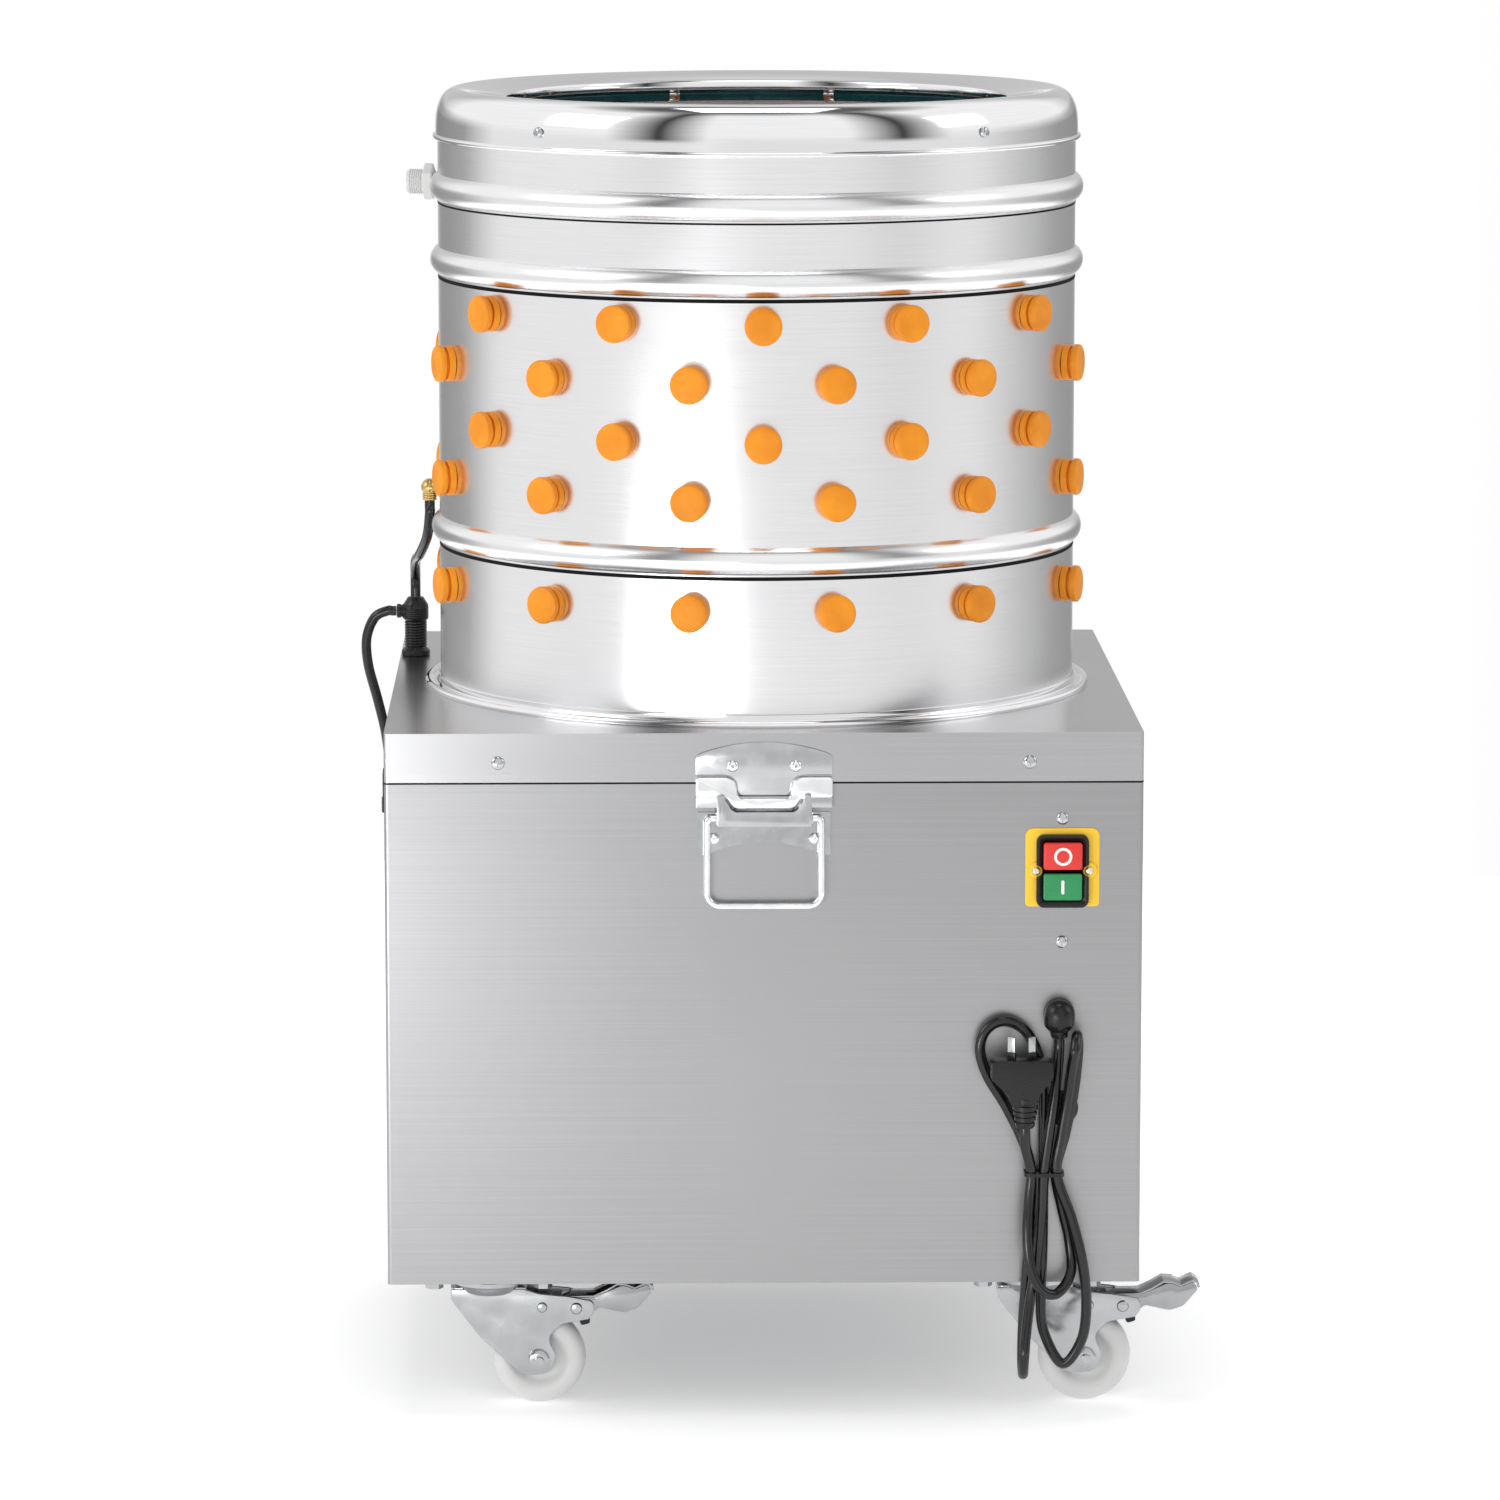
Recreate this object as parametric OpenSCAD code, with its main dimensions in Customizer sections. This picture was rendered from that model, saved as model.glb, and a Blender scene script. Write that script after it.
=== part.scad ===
// Drum poultry plucker: a stainless cabinet on casters, a drum studded with rubber fingers,
// a spinning finger plate driven by a belt, a cover that tips back, a latch and a switch.
// Millimetres. +Z is up, the front faces -Y, and the origin is on the floor under the drum's axis.

/* [Cabinet] */
// Width of the cabinet, left to right
cabinet_w = 600; // [590:2:640]
// Depth of the cabinet, front to back
cabinet_d = 600; // [590:2:640]
// Height of the lower shell
shell_h = 404; // [396:2:440]
// Height of the cover that tips back
cover_h = 39.6; // [37:0.2:46]
// Thickness of the cabinet's sheet metal
sheet = 1.5; // [1.2:0.1:2]
// Outside radius of the bent sheet corners
bend_r = 3; // [2.5:0.5:5]
// Width of the inward flanges at the sheet edges
flange_w = 18; // [15:1:21]
// Gap at the seam between shell and cover
seam_gap = 0.4; // [0.3:0.1:0.8]
// Leg width of the base frame's angle steel
angle_w = 32; // [28:1:36]
// Thickness of the base frame's angle steel
angle_t = 3; // [2.5:0.5:4]

/* [Drum] */
// Outside radius of the drum wall
drum_r = 262; // [256:1:266]
// Height of the drum wall above the cover
drum_h = 471; // [460:1:500]
// Thickness of the drum wall
drum_t = 1.5; // [1.2:0.1:2]
// Height of the lowest swaged bead's centre above the cover
low_bead_h = 131; // [128:1:134]
// Height of the middle bead's centre above the cover
mid_bead_h = 351; // [347:1:358]
// Height of the top bead's centre above the cover
top_bead_h = 411; // [404:1:414]
// Height of one bead
bead_w = 22; // [18:1:24]
// How far a bead stands out of the wall
bead_rise = 6.5; // [5:0.5:8]
// Width of the foot ring round the drum
foot_w = 13; // [10:1:20]
// Height of the foot ring's flat flange
foot_t = 3; // [2:0.5:4]
// How far the cover reaches in under the drum's wall
cover_in = 8; // [7:1:12]

/* [Rim] */
// Width of the rim from the drum's wall in to the mouth
rim_w = 57; // [52:1:62]
// Thickness of the rim's sheet
rim_t = 2; // [1.5:0.1:2.5]
// How far the rim's skirt laps down over the wall
rim_lap = 21; // [18:1:24]
// Radius of the rim's shoulder
shoulder_r = 18; // [15:1:21]
// How far the rim dips from its crest to the mouth
rim_dip = 6; // [4:0.5:9]
// Height of the lip turned down at the mouth
lip_h = 8; // [6:1:12]
// How far the spray ring's centre line lies outside the mouth
spray_in = 19; // [17:1:21]
// Outside diameter of the spray ring's hose
spray_d = 12; // [11:0.5:13]

/* [Fingers] */
// Diameter of a finger's head
head_d = 30; // [28:1:31]
// Thickness of a finger's head
head_t = 6; // [5:0.5:7]
// Length of the finger inside the drum
finger_l = 72; // [66:1:76]
// Diameter of the hole that a finger is pulled through
finger_hole_d = 21; // [20:0.5:22]
// Number of ribs on a finger
finger_ribs = 7; // [5:1:8]
// Height of the lowest row of wall fingers above the cover
low_row_h = 90; // [89:1:93]
// Height of the second row of wall fingers above the cover
second_row_h = 178; // [176:1:184]
// Height from row to row above that
row_pitch = 46.7; // [45:0.1:48]
// How far the columns crowd towards front and back, in degrees
column_crowd = 5; // [4:0.5:6]

/* [Turntable] */
// Gap from the drum's wall to the finger plate's edge
plate_gap = 24; // [20:1:28]
// Thickness of the finger plate
plate_t = 4; // [3:0.5:5]
// How far the plate lies below the cover's top
plate_drop = 8; // [7:0.5:11]
// Radii of the three finger rings on the plate
plate_rings = [85, 148, 208];
// Fingers in each of those rings
plate_counts = [6, 10, 14];

/* [Drive] */
// Diameter of the main shaft
shaft_d = 25; // [22:1:28]
// Pitch diameter of the driven pulley
driven_pitch_d = 280; // [260:5:290]
// Pitch diameter of the motor pulley
motor_pitch_d = 56; // [52:1:60]
// Distance from the drum's axis to the motor's axis
motor_offset = 205; // [203:1:208]
// Outside diameter of the motor
motor_d = 140; // [130:2:146]
// Height of the motor
motor_h = 168; // [150:2:176]
// Diameter of the motor's shaft
motor_shaft_d = 19; // [16:1:22]
// Height of the belt's middle above the base
belt_rise = 92; // [86:1:98]
// Height of the lower beam's top above the base
low_beam_rise = 190; // [186:1:200]
// Height of the upper beam's top above the base
high_beam_rise = 280; // [270:1:292]

/* [Casters] */
// Height of a caster, floor to cabinet
caster_h = 110; // [108:1:120]
// Diameter of a wheel
wheel_d = 75; // [72:1:76]
// Width of a wheel
wheel_w = 25; // [22:1:28]
// Distance from swivel axis to axle
trail = 40; // [38:1:42]
// Distance of the swivel axes from the cabinet's sides
caster_side = 80; // [78:1:86]
// Distance of the swivel axes from the cabinet's front and back
caster_end = 59; // [56:1:64]

/* [Latch] */
// Width of the latch
latch_w = 108; // [100:1:114]
// Thickness of the latch's plates
latch_t = 2; // [1.5:0.1:2.4]
// Diameter of the bail's wire
wire_d = 5.5; // [5:0.1:6]
// Outside width of the bail
bail_w = 96; // [92:1:98]
// Drop of the bail below its pivot
bail_drop = 73; // [64:1:80]

/* [Switch] */
// Distance of the switch from the cabinet's right side
switch_side = 64; // [62:1:70]
// Height of the switch above the base
switch_rise = 336; // [332:1:344]
// Travel of the start and stop buttons
button_travel = 3; // [2:0.5:4]

/* [Hidden] */
$fn = 48;

// Clearances
// Gap between pieces that are fitted together and don't move
fit = 0.2;
// Radial gap of a shaft or pin that turns
run = 0.05;
// Gap between pieces that pass each other
pass = 0.4;

// Levels of the cabinet
half_w = cabinet_w / 2;
half_d = cabinet_d / 2;
z_base = caster_h;
z_seam = z_base + shell_h;
z_cover = z_seam + seam_gap;
z_top = z_cover + cover_h;
z_wall = z_top + drum_h;

// Radii round the drum's axis
foot_r = drum_r + foot_w;
cover_hole_r = drum_r - cover_in;
mouth_r = drum_r - rim_w;
spray_r = mouth_r + spray_in;
plate_r = drum_r - plate_gap;

// Places on the cabinet
caster_x = half_w - caster_side;
caster_y = half_d - caster_end;
switch_x = half_w - switch_side;
skirt_screw_x = half_w - 90;

// A bead is a round segment of bead_w by bead_rise
bead_r = (bead_w * bead_w / 4 + bead_rise * bead_rise) / (2 * bead_rise);
bead_rows = [low_bead_h, mid_bead_h, top_bead_h];

// Rim: skirt on the wall, round shoulder, cone down to the mouth, turned lip
rim_in_r = drum_r + fit;
rim_out_r = rim_in_r + rim_t;
z_rim = z_wall - rim_lap;
z_shoulder = z_wall + 2;
z_crest = z_shoulder + shoulder_r;
crest_r = rim_out_r - shoulder_r;
z_mouth = z_crest - rim_dip;
hem_r = 2.2;
rim_screw_angles = [42, 138, 222, 318];
z_rim_screw = z_wall - 5;
z_spray = z_mouth - rim_t - spray_d / 2 - 4.5;

// Fingers: head, groove and seat outside, neck in the hole, collar and ribbed stem inside
seat_t = 5;
groove_t = 2.5;
seat_r = head_d / 2 - 0.5;
groove_r = head_d / 2 - 4;
neck_r = finger_hole_d / 2 - fit;
collar_r = finger_hole_d / 2 + 2.5;
collar_t = 5;
stem_r = 9;
tip_r = 6.5;
rib_h = 1.2;
columns = 12;
upper_rows = 4;
wall_in = sqrt(pow(drum_r - drum_t, 2) - pow(collar_r, 2)) - run;

// Turntable
z_plate = z_top - plate_drop;
hub_flange_r = 58;
hub_r = 30;
hub_h = 34;

// Drive
shaft_r = shaft_d / 2;
z_belt = z_base + belt_rise;
z_low_beam = z_base + low_beam_rise;
z_high_beam = z_base + high_beam_rise;
beam_h = 40;
beam_w = 60;
beam_t = 3;
bracket_t = 6;
z_bracket = z_low_beam - beam_h;
belt_h = 8;
belt_top_w = 12.5;
belt_low_w = belt_top_w - 2 * belt_h * tan(20);
belt_lean = asin((driven_pitch_d - motor_pitch_d) / 2 / motor_offset);
belt_run = motor_offset * cos(belt_lean);
belt_lap = 1;
motor_y = -motor_offset;
z_shaft_low = z_belt - 20;

// Tray: hangs under the shell's flanges and slopes to the rear outlet
tray_w = cabinet_w - 2 * flange_w - 12;
z_tray_collar = z_plate - plate_t - hub_h - 6;
tray_collar_t = 2;
tray_front = -half_d + flange_w + 6;
tray_rear = half_d - flange_w - 6;
tray_front_h = 26;
tray_rear_h = 116;
tray_slope = (tray_rear_h - tray_front_h) / (tray_rear - tray_front);
chute_w = 380;
chute_l = 42;
chute_h = 70;
shaft_collar_r = shaft_r + 10;
function tray_floor(y) = z_seam - sheet - tray_front_h - tray_slope * (y - tray_front);

// Rear hinge
hinge_y = half_d + 5;
z_hinge = z_seam + seam_gap / 2;
hinge_r = 5;
hinge_pin_r = 2.5;
hinge_x = half_w - 100;
hinge_w = 70;

// Latch
latch_pivot_y = -half_d - 8;
z_latch_pivot = z_seam - 27;
keeper_top = z_top - 7;
keeper_low = z_seam + 6;
tongue_w = 43;
tongue_low = z_seam - 11;
wire_r = wire_d / 2;
barrel_r = 6;
barrel_w = 62;
ear_x = 37;
ear_t = 3;
rivet_r = 4.7;
rivet_h = 2.4;

// Switch and the pieces under it on the front
front = -half_d;
switch_z = z_base + switch_rise;
plate_w = 58.6;
plate_h = 62.8;
plate_thick = 1.5;
frame_w = 41.4;
frame_h = 58.2;
frame_drop = 2.3;
frame_deep = 7.5;
button_w = 30.6;
button_h = 21.4;
boss_x = plate_w / 2 - 8.4;
boss_r = 6.8;
boss_in = button_w / 2 + 2.2;
button_rise = 12.5;
box_w = 66;
box_h = 116;
box_deep = 56;
box_t = 2.5;
box_screw_rise = [39, -60];
gland_z = switch_z - 117;
gland_r = 12.2;
gland_out = 11;
gland_l = 18;
reset_z = switch_z - 194;
reset_r = 13.9;
reset_button_r = 8;
reset_travel = 2;

// Casters
wheel_r = wheel_d / 2;
fork_in = wheel_w / 2 + 2;
fork_t = 2.5;
axle_r = 4;
caster_plate_t = 3;
caster_plate_l = 106;
caster_plate_w = 82;
bolt_x = 43.6;
bolt_y = 31;
bolt_r = 4;
race_r = 30;
pedal_x = trail + 30;
pedal_z = wheel_r + 42.5;
pedal_pin_r = 3.4;
pedal_half_w = fork_in - pass;
pedal_t = 2;

// Cords
cord_d = 8.5;
cord_sides = 8;
hank_sides = 6;
cord_steps = 4;
hose_d = 8.5;
waist_z = 202;
// Mains lead from the gland, down and up through the tie, to the plug. Every fold is one bight.
lead_top = [[234, -311, 310.6], [234, -311, 302], [233, -313.5, 290], [231, -316.5, 272],
  [228, -318.5, 250], [224.5, -319, 225], [222, -319, waist_z]];
hank_route = [[222, -319, waist_z], [220, -318.5, 165], [216, -319, 128], [211, -323, 98],
  [207.5, -331, 72], [206, -334, 54], [206, -323, 40], [206, -311.5, 52],
  [206.5, -309, 75], [208, -309, 102], [210, -309.5, 132], [211.5, -309.5, 166],
  [212, -309.5, waist_z], [206, -309.5, 226], [192, -309.5, 255], [177, -309.5, 280],
  [171, -309.5, 301], [176, -309.5, 317], [190, -309.5, 324], [206, -309.5, 317],
  [217, -309.5, 298], [221, -309.5, 272], [222, -309.5, 238], [222, -309.5, waist_z],
  [222, -309.5, 166], [221.5, -309.5, 132], [220.5, -309, 102], [223, -309.5, 72],
  [238, -312, 46], [253, -315, 66], [256.5, -317.5, 96], [253, -319, 130],
  [244, -319, 166], [232, -319, waist_z], [236, -319, 235], [240.5, -320, 264],
  [243.5, -324.5, 290], [245.5, -328, 304], [247.5, -319, 314], [249, -310.5, 304],
  [248, -309.5, 286], [245, -309.5, 262], [239, -309.5, 232], [232, -309.5, waist_z],
  [237, -309.5, 173], [243, -310, 146], [244, -316, 121], [232, -325, 106],
  [218.5, -330, 112], [210.5, -330, 132], [208.5, -326, 158], [210, -321, 182],
  [212, -319, waist_z]];
lead_end = [[212, -319, waist_z], [210, -321, 213], [207, -326.5, 224], [206, -330, 234],
  [206, -330, 241.6]];
plug_at = [206, -330, 242];
// Water hose from the drum's fitting to the coupling on the cover
fitting_out = 12;
fitting_angle = -98;
z_fitting = z_top + second_row_h - 21;
hose_at = [(drum_r + fitting_out) * sin(fitting_angle), -(drum_r + fitting_out) * cos(fitting_angle),
  z_fitting - 11.4];
union_h = 50;
union_at = [-half_w + 13, 150, z_top + union_h];
hose_top = [hose_at, hose_at - [0, 0, 5], hose_at - [0, 0, 11.6], [-274, 52, 668], [-281, 86, 649],
  union_at + [1, -22, 34], union_at + [0, 0, 18], union_at + [0, 0, 8], union_at + [0, 0, pass]];
// Loop of hose from that coupling, over the cover's edge and down
loop_at = [-half_w - 3.4, union_at[1], z_top + 38];
hose_loop = [for (p = [[0, 0, 0], [-3.4, 0, 0], [-7.6, 0, 0], [-18.6, 2, -6], [-25.6, 6, -24],
  [-24.6, 11, -48], [-17.6, 18, -77], [-11.6, 24, -104], [-8.6, 28, -126], [-8.6, 28, -133],
  [-8.6, 28, -139.6]]) loop_at + p];

// Smooth curve through the points of a route
function at(p, i) = p[max(0, min(len(p) - 1, i))];
function spline(p, i, t) = let (a = at(p, i - 1), b = at(p, i), c = at(p, i + 1), d = at(p, i + 2))
  0.5 * (2 * b + (c - a) * t + (2 * a - 5 * b + 4 * c - d) * t * t
    + (3 * b - a - 3 * c + d) * t * t * t);
function smooth(p) = concat([for (i = [0 : len(p) - 2]) for (k = [0 : cord_steps - 1])
  spline(p, i, k / cord_steps)], [p[len(p) - 1]]);
function unit(v) = v / norm(v);
function tangents(q) = [for (i = [0 : len(q) - 1]) unit(at(q, i + 1) - at(q, i - 1))];
// Sideways vectors carried along the route without twist
function carry(u, t) = unit(u - (u * t) * t);
function sideways(t) = [for (i = 0, u = carry([1, 0.2, 0.1], t[0]); i < len(t);
  i = i + 1, u = i < len(t) ? carry(u, t[i]) : u) u];
function ring(c, t, u, r, n) = let (v = cross(t, u))
  [for (k = [0 : n - 1]) c + r * (cos(360 * k / n) * u + sin(360 * k / n) * v)];
// Least gap between stretches of one route that aren't neighbours
function least_gap(q, d, apart) = min([for (i = [0 : len(q) - 1 - apart])
  for (k = [i + apart : len(q) - 1]) norm(q[i] - q[k])]) - d;

module tube(q, t, d, n) {
  u = sideways(t);
  count = len(q);
  points = [for (i = [0 : count - 1]) each ring(q[i], t[i], u[i], d / 2, n)];
  sides = [for (i = [0 : count - 2]) for (k = [0 : n - 1]) let (a = i * n + k,
    b = i * n + (k + 1) % n) each [[a, a + n, b], [b, a + n, b + n]]];
  ends = [for (k = [1 : n - 2]) each [[0, k, k + 1],
    [(count - 1) * n, (count - 1) * n + k + 1, (count - 1) * n + k]]];
  polyhedron(concat(sides, ends) == [] ? [] : points, concat(sides, ends));
}
module part_tube(whole, first, last, d, n) {
  t = tangents(whole);
  tube([for (i = [first : last]) whole[i]], [for (i = [first : last]) t[i]], d, n);
}
lead_route = smooth(concat(lead_top, [for (i = [1 : len(hank_route) - 1]) hank_route[i]],
  [for (i = [1 : len(lead_end) - 1]) lead_end[i]]));
hank_first = (len(lead_top) - 1) * cord_steps;
hank_last = hank_first + (len(hank_route) - 1) * cord_steps;
echo(lead_least_gap = least_gap(lead_route, cord_d, 3 * cord_steps));

// Shared shapes
module plate_2d(w, d, r) {
  square([w - 2 * r, d], center = true);
  square([w, d - 2 * r], center = true);
  for (x = [-1, 1]) for (y = [-1, 1]) translate([x * (w / 2 - r), y * (d / 2 - r)]) circle(r);
}
// A box whose corners are given
module block(a, b) {
  translate(a) cube(b - a);
}
// Lays a drawing on the front face, x to the right and y up, raised towards the viewer
module on_front(x, z, y = front) {
  translate([x, y, z]) rotate([90, 0, 0]) children();
}
// Places children on the drum, pointing out, at an angle from the front
module on_drum(angle, z, r) {
  rotate([0, 0, angle - 90]) translate([r, 0, z]) rotate([0, 90, 0]) children();
}
module pan_screw(head_r, shank_r, shank_l) {
  difference() {
    rotate_extrude() polygon([[0, -shank_l], [shank_r, -shank_l], [shank_r, 0], [head_r, 0],
      [head_r, 1], [head_r * 0.7, 2.6], [0, 3]]);
    for (a = [0, 90]) rotate([0, 0, a])
      translate([-head_r * 0.6, -0.5, 1.8]) cube([head_r * 1.2, 1, 3]);
  }
}
module rivet(head_r, shank_l) {
  rotate_extrude() polygon([[0, -shank_l], [2, -shank_l], [2, 0], [head_r, 0],
    [head_r * 0.8, rivet_h * 0.7], [head_r * 0.4, rivet_h], [0, rivet_h]]);
}

// Cabinet
module cabinet_shell() color("silver") difference() {
  union() {
    translate([0, 0, z_base]) linear_extrude(shell_h) difference() {
      plate_2d(cabinet_w, cabinet_d, bend_r);
      plate_2d(cabinet_w - 2 * sheet, cabinet_d - 2 * sheet, bend_r - sheet);
      translate([-half_w + sheet, 0]) square([cabinet_w - 2 * sheet, cabinet_d]);
    }
    translate([0, 0, z_seam - sheet]) linear_extrude(sheet) difference() {
      plate_2d(cabinet_w - sheet, cabinet_d - sheet, bend_r - sheet / 2);
      translate([-half_w + flange_w, front + flange_w])
        square([cabinet_w - 2 * flange_w, cabinet_d]);
      translate([-half_w, half_d - sheet]) square([cabinet_w, cabinet_d]);
    }
  }
  on_front(switch_x, switch_z - frame_drop, front + box_deep) linear_extrude(2 * box_deep)
    square([frame_w - 4, frame_h - 4], center = true);
  for (dz = box_screw_rise) on_front(switch_x, switch_z + dz, front + 9)
    cylinder(r = 2 + fit, h = 10);
  for (dx = [-1, 1]) on_front(switch_x + dx * boss_x, switch_z - frame_drop, front + 9)
    cylinder(r = 1.7 + fit, h = 10);
  on_front(switch_x - 2, gland_z, front + 9) cylinder(r = 8 + fit, h = 10);
  on_front(switch_x, reset_z, front + 9) cylinder(r = 11 + fit, h = 10);
  for (dx = [-1, 1]) on_front(dx * (latch_w / 2 - 14), z_latch_pivot - 17, front + 9)
    cylinder(r = 2 + fit, h = 10);
}
module rear_panel() color("silver") difference() {
  union() {
    block([-half_w + sheet + fit, half_d - sheet, z_base], [half_w - sheet - fit, half_d, z_seam]);
    block([-half_w + flange_w + fit, half_d - flange_w, z_seam - sheet],
      [half_w - flange_w - fit, half_d, z_seam]);
  }
  block([-chute_w / 2 - sheet - pass, half_d - 5, tray_floor(half_d) - sheet - pass],
    [chute_w / 2 + sheet + pass, half_d + 5, tray_floor(half_d) + chute_h + pass]);
  for (x = [-2.5 : 1 : 2.5]) for (k = [0 : 2]) translate([x * 70, half_d + 1, z_base + 70 + k * 24])
    rotate([90, 0, 0]) linear_extrude(2 * flange_w) plate_2d(50, 8, 3.9);
}
module base_frame() color("slategray") difference() {
  frame_ow = cabinet_w - 2 * (sheet + fit);
  frame_od = cabinet_d - 2 * (sheet + fit);
  union() {
    translate([0, 0, z_base]) linear_extrude(angle_t) difference() {
      square([frame_ow, frame_od], center = true);
      square([frame_ow - 2 * angle_w, frame_od - 2 * angle_w], center = true);
    }
    translate([0, 0, z_base]) linear_extrude(angle_w) difference() {
      square([frame_ow, frame_od], center = true);
      square([frame_ow - 2 * angle_t, frame_od - 2 * angle_t], center = true);
    }
    for (x = [-1, 1]) for (y = [-1, 1])
      translate([x * (frame_ow / 2 - 75), y * (frame_od / 2 - 60), z_base + angle_t / 2])
        cube([148, 118, angle_t], center = true);
  }
  at_casters() at_bolts() translate([0, 0, -5]) cylinder(r = bolt_r + fit, h = 40);
}
module at_casters() {
  for (x = [-1, 1]) for (y = [-1, 1]) translate([x * caster_x, y * caster_y, z_base]) children();
}
module at_bolts() {
  for (x = [-1, 1]) for (y = [-1, 1]) translate([x * bolt_x, y * bolt_y, 0]) children();
}
module caster_plates() color("gainsboro") at_casters() difference() {
  union() {
    translate([0, 0, -caster_plate_t]) linear_extrude(caster_plate_t)
      plate_2d(caster_plate_l, caster_plate_w, 8);
    translate([0, 0, -caster_plate_t - 3]) cylinder(r1 = race_r - 6, r2 = race_r - 2, h = 3);
    translate([0, 0, -caster_plate_t - 14]) cylinder(r = 6, h = 14);
  }
  at_bolts() translate([0, 0, -10]) cylinder(r = bolt_r + fit, h = 20);
}
module caster_bolts() color("silver") at_casters() at_bolts() {
  translate([0, 0, -caster_plate_t - 6]) cylinder(r = 7.3, h = 6, $fn = 6);
  translate([0, 0, -caster_plate_t]) cylinder(r = bolt_r, h = caster_plate_t + angle_t + 10);
  translate([0, 0, angle_t]) cylinder(r = 7.3, h = 6.5, $fn = 6);
}
module tray_side(rise) {
  polygon([[tray_front, tray_floor(tray_front) + rise], [tray_rear, tray_floor(tray_rear) + rise],
    [tray_rear, z_seam - sheet + rise], [tray_front, z_seam - sheet + rise]]);
}
module along_x(w) {
  translate([-w / 2, 0, 0]) rotate([90, 0, 90]) linear_extrude(w) children();
}
module feather_tray() color("lightgray") difference() {
  union() {
    along_x(tray_w) tray_side(0);
    translate([0, 0, z_seam - 2 * sheet]) linear_extrude(sheet)
      translate([-half_w + 4, front + 4]) square([cabinet_w - 8, cabinet_d - 8]);
    along_x(chute_w) polygon([[tray_rear - 2, tray_floor(tray_rear - 2)],
      [half_d + chute_l, tray_floor(half_d + chute_l)],
      [half_d + chute_l, tray_floor(half_d + chute_l) + chute_h * 0.6],
      [tray_rear - 2, tray_floor(tray_rear - 2) + chute_h]]);
    translate([0, 0, tray_floor(0) - sheet])
      cylinder(r = shaft_collar_r + tray_collar_t, h = z_tray_collar - tray_floor(0) + sheet);
  }
  difference() {
    intersection() {
      along_x(tray_w - 2 * sheet) tray_side(sheet);
      block([-half_w, tray_front + sheet, z_base], [half_w, tray_rear - sheet, z_top]);
    }
    cylinder(r = shaft_collar_r + tray_collar_t, h = z_tray_collar);
  }
  along_x(chute_w - 2 * sheet) polygon([[tray_rear - 9, tray_floor(tray_rear - 9) + sheet],
    [half_d + chute_l + 9, tray_floor(half_d + chute_l + 9) + sheet],
    [half_d + chute_l + 9, tray_floor(half_d) + 2 * chute_h],
    [tray_rear + sheet, tray_floor(half_d) + 2 * chute_h],
    [tray_rear + sheet, tray_floor(tray_rear) + chute_h - sheet],
    [tray_rear - 9, tray_floor(tray_rear) + chute_h - sheet]]);
  translate([0, 0, z_base]) cylinder(r = shaft_collar_r, h = z_top);
}

// Drive
module beam(z) {
  difference() {
    block([-half_w + sheet, -beam_w / 2, z - beam_h], [half_w - sheet, beam_w / 2, z]);
    block([-half_w + sheet + beam_t, -beam_w / 2 + beam_t, z - beam_h - 1],
      [half_w - sheet - beam_t, beam_w / 2 - beam_t, z - beam_t]);
    translate([0, 0, z - beam_h]) cylinder(r = shaft_r + 6, h = 2 * beam_h);
  }
}
module bearing_beams() color("slategray") {
  beam(z_low_beam);
  beam(z_high_beam);
}
module shaft_bearings() color("darkgreen") for (z = [z_low_beam, z_high_beam]) difference() {
  translate([0, 0, z]) {
    linear_extrude(12) plate_2d(124, beam_w - 4, 12);
    cylinder(r1 = 28, r2 = 25, h = 32);
    for (x = [-1, 1]) translate([x * 48, 0, 12]) cylinder(r = 9, h = 7, $fn = 6);
  }
  cylinder(r = shaft_r + run, h = z_top);
}
module motor_body() color("darkslateblue") translate([0, motor_y, z_bracket]) difference() {
  union() {
    cylinder(r = motor_d / 2 + 6, h = 9);
    cylinder(r = motor_d / 2 - 5, h = motor_h - 24);
    translate([0, 0, motor_h - 24]) cylinder(r1 = motor_d / 2 - 5, r2 = motor_d / 2 - 18, h = 24);
    for (a = [0 : 15 : 345]) rotate([0, 0, a])
      translate([motor_d / 2 - 10, -1.25, 9]) cube([10, 2.5, motor_h - 40]);
    translate([motor_d / 2 - 12, -30, 40]) cube([32, 60, 80]);
    translate([-motor_d / 2 - 14, 0, 30]) cylinder(r = 20, h = 95);
  }
  translate([0, 0, -1]) cylinder(r = motor_shaft_d / 2 + run, h = motor_h * 0.8);
}
module motor_bracket() color("slategray") difference() {
  reach = -half_d + sheet + fit + 9;
  union() {
    block([-100, reach, z_bracket - bracket_t], [100, beam_w / 2, z_bracket]);
    for (x = [-100, 94]) block([x, reach, z_base + angle_t], [x + 6, reach + 20, z_bracket]);
  }
  cylinder(r = shaft_r + 6, h = z_top);
  translate([0, motor_y, 0]) cylinder(r = motor_shaft_d / 2 + 12, h = z_top);
}
module belt_section(grow) {
  polygon([[-belt_h / 2, -belt_low_w / 2 - grow], [belt_h / 2 + grow, -belt_top_w / 2 - grow],
    [belt_h / 2 + grow, belt_top_w / 2 + grow], [-belt_h / 2, belt_low_w / 2 + grow]]);
}
module belt_wrap(pitch_d, from, sweep) {
  rotate([0, 0, from]) rotate_extrude(angle = sweep) translate([pitch_d / 2, 0]) belt_section(0);
}
module drive_belt() color("black") translate([0, 0, z_belt]) {
  belt_wrap(driven_pitch_d, -belt_lean, 180 + 2 * belt_lean);
  translate([0, motor_y, 0]) belt_wrap(motor_pitch_d, 180 + belt_lean, 180 - 2 * belt_lean);
  for (s = [0, 1]) mirror([s, 0, 0]) rotate([0, 0, -belt_lean])
    translate([driven_pitch_d / 2, belt_lap, 0]) rotate([90, 0, 0])
      linear_extrude(belt_run + 2 * belt_lap) belt_section(0);
}
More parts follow.
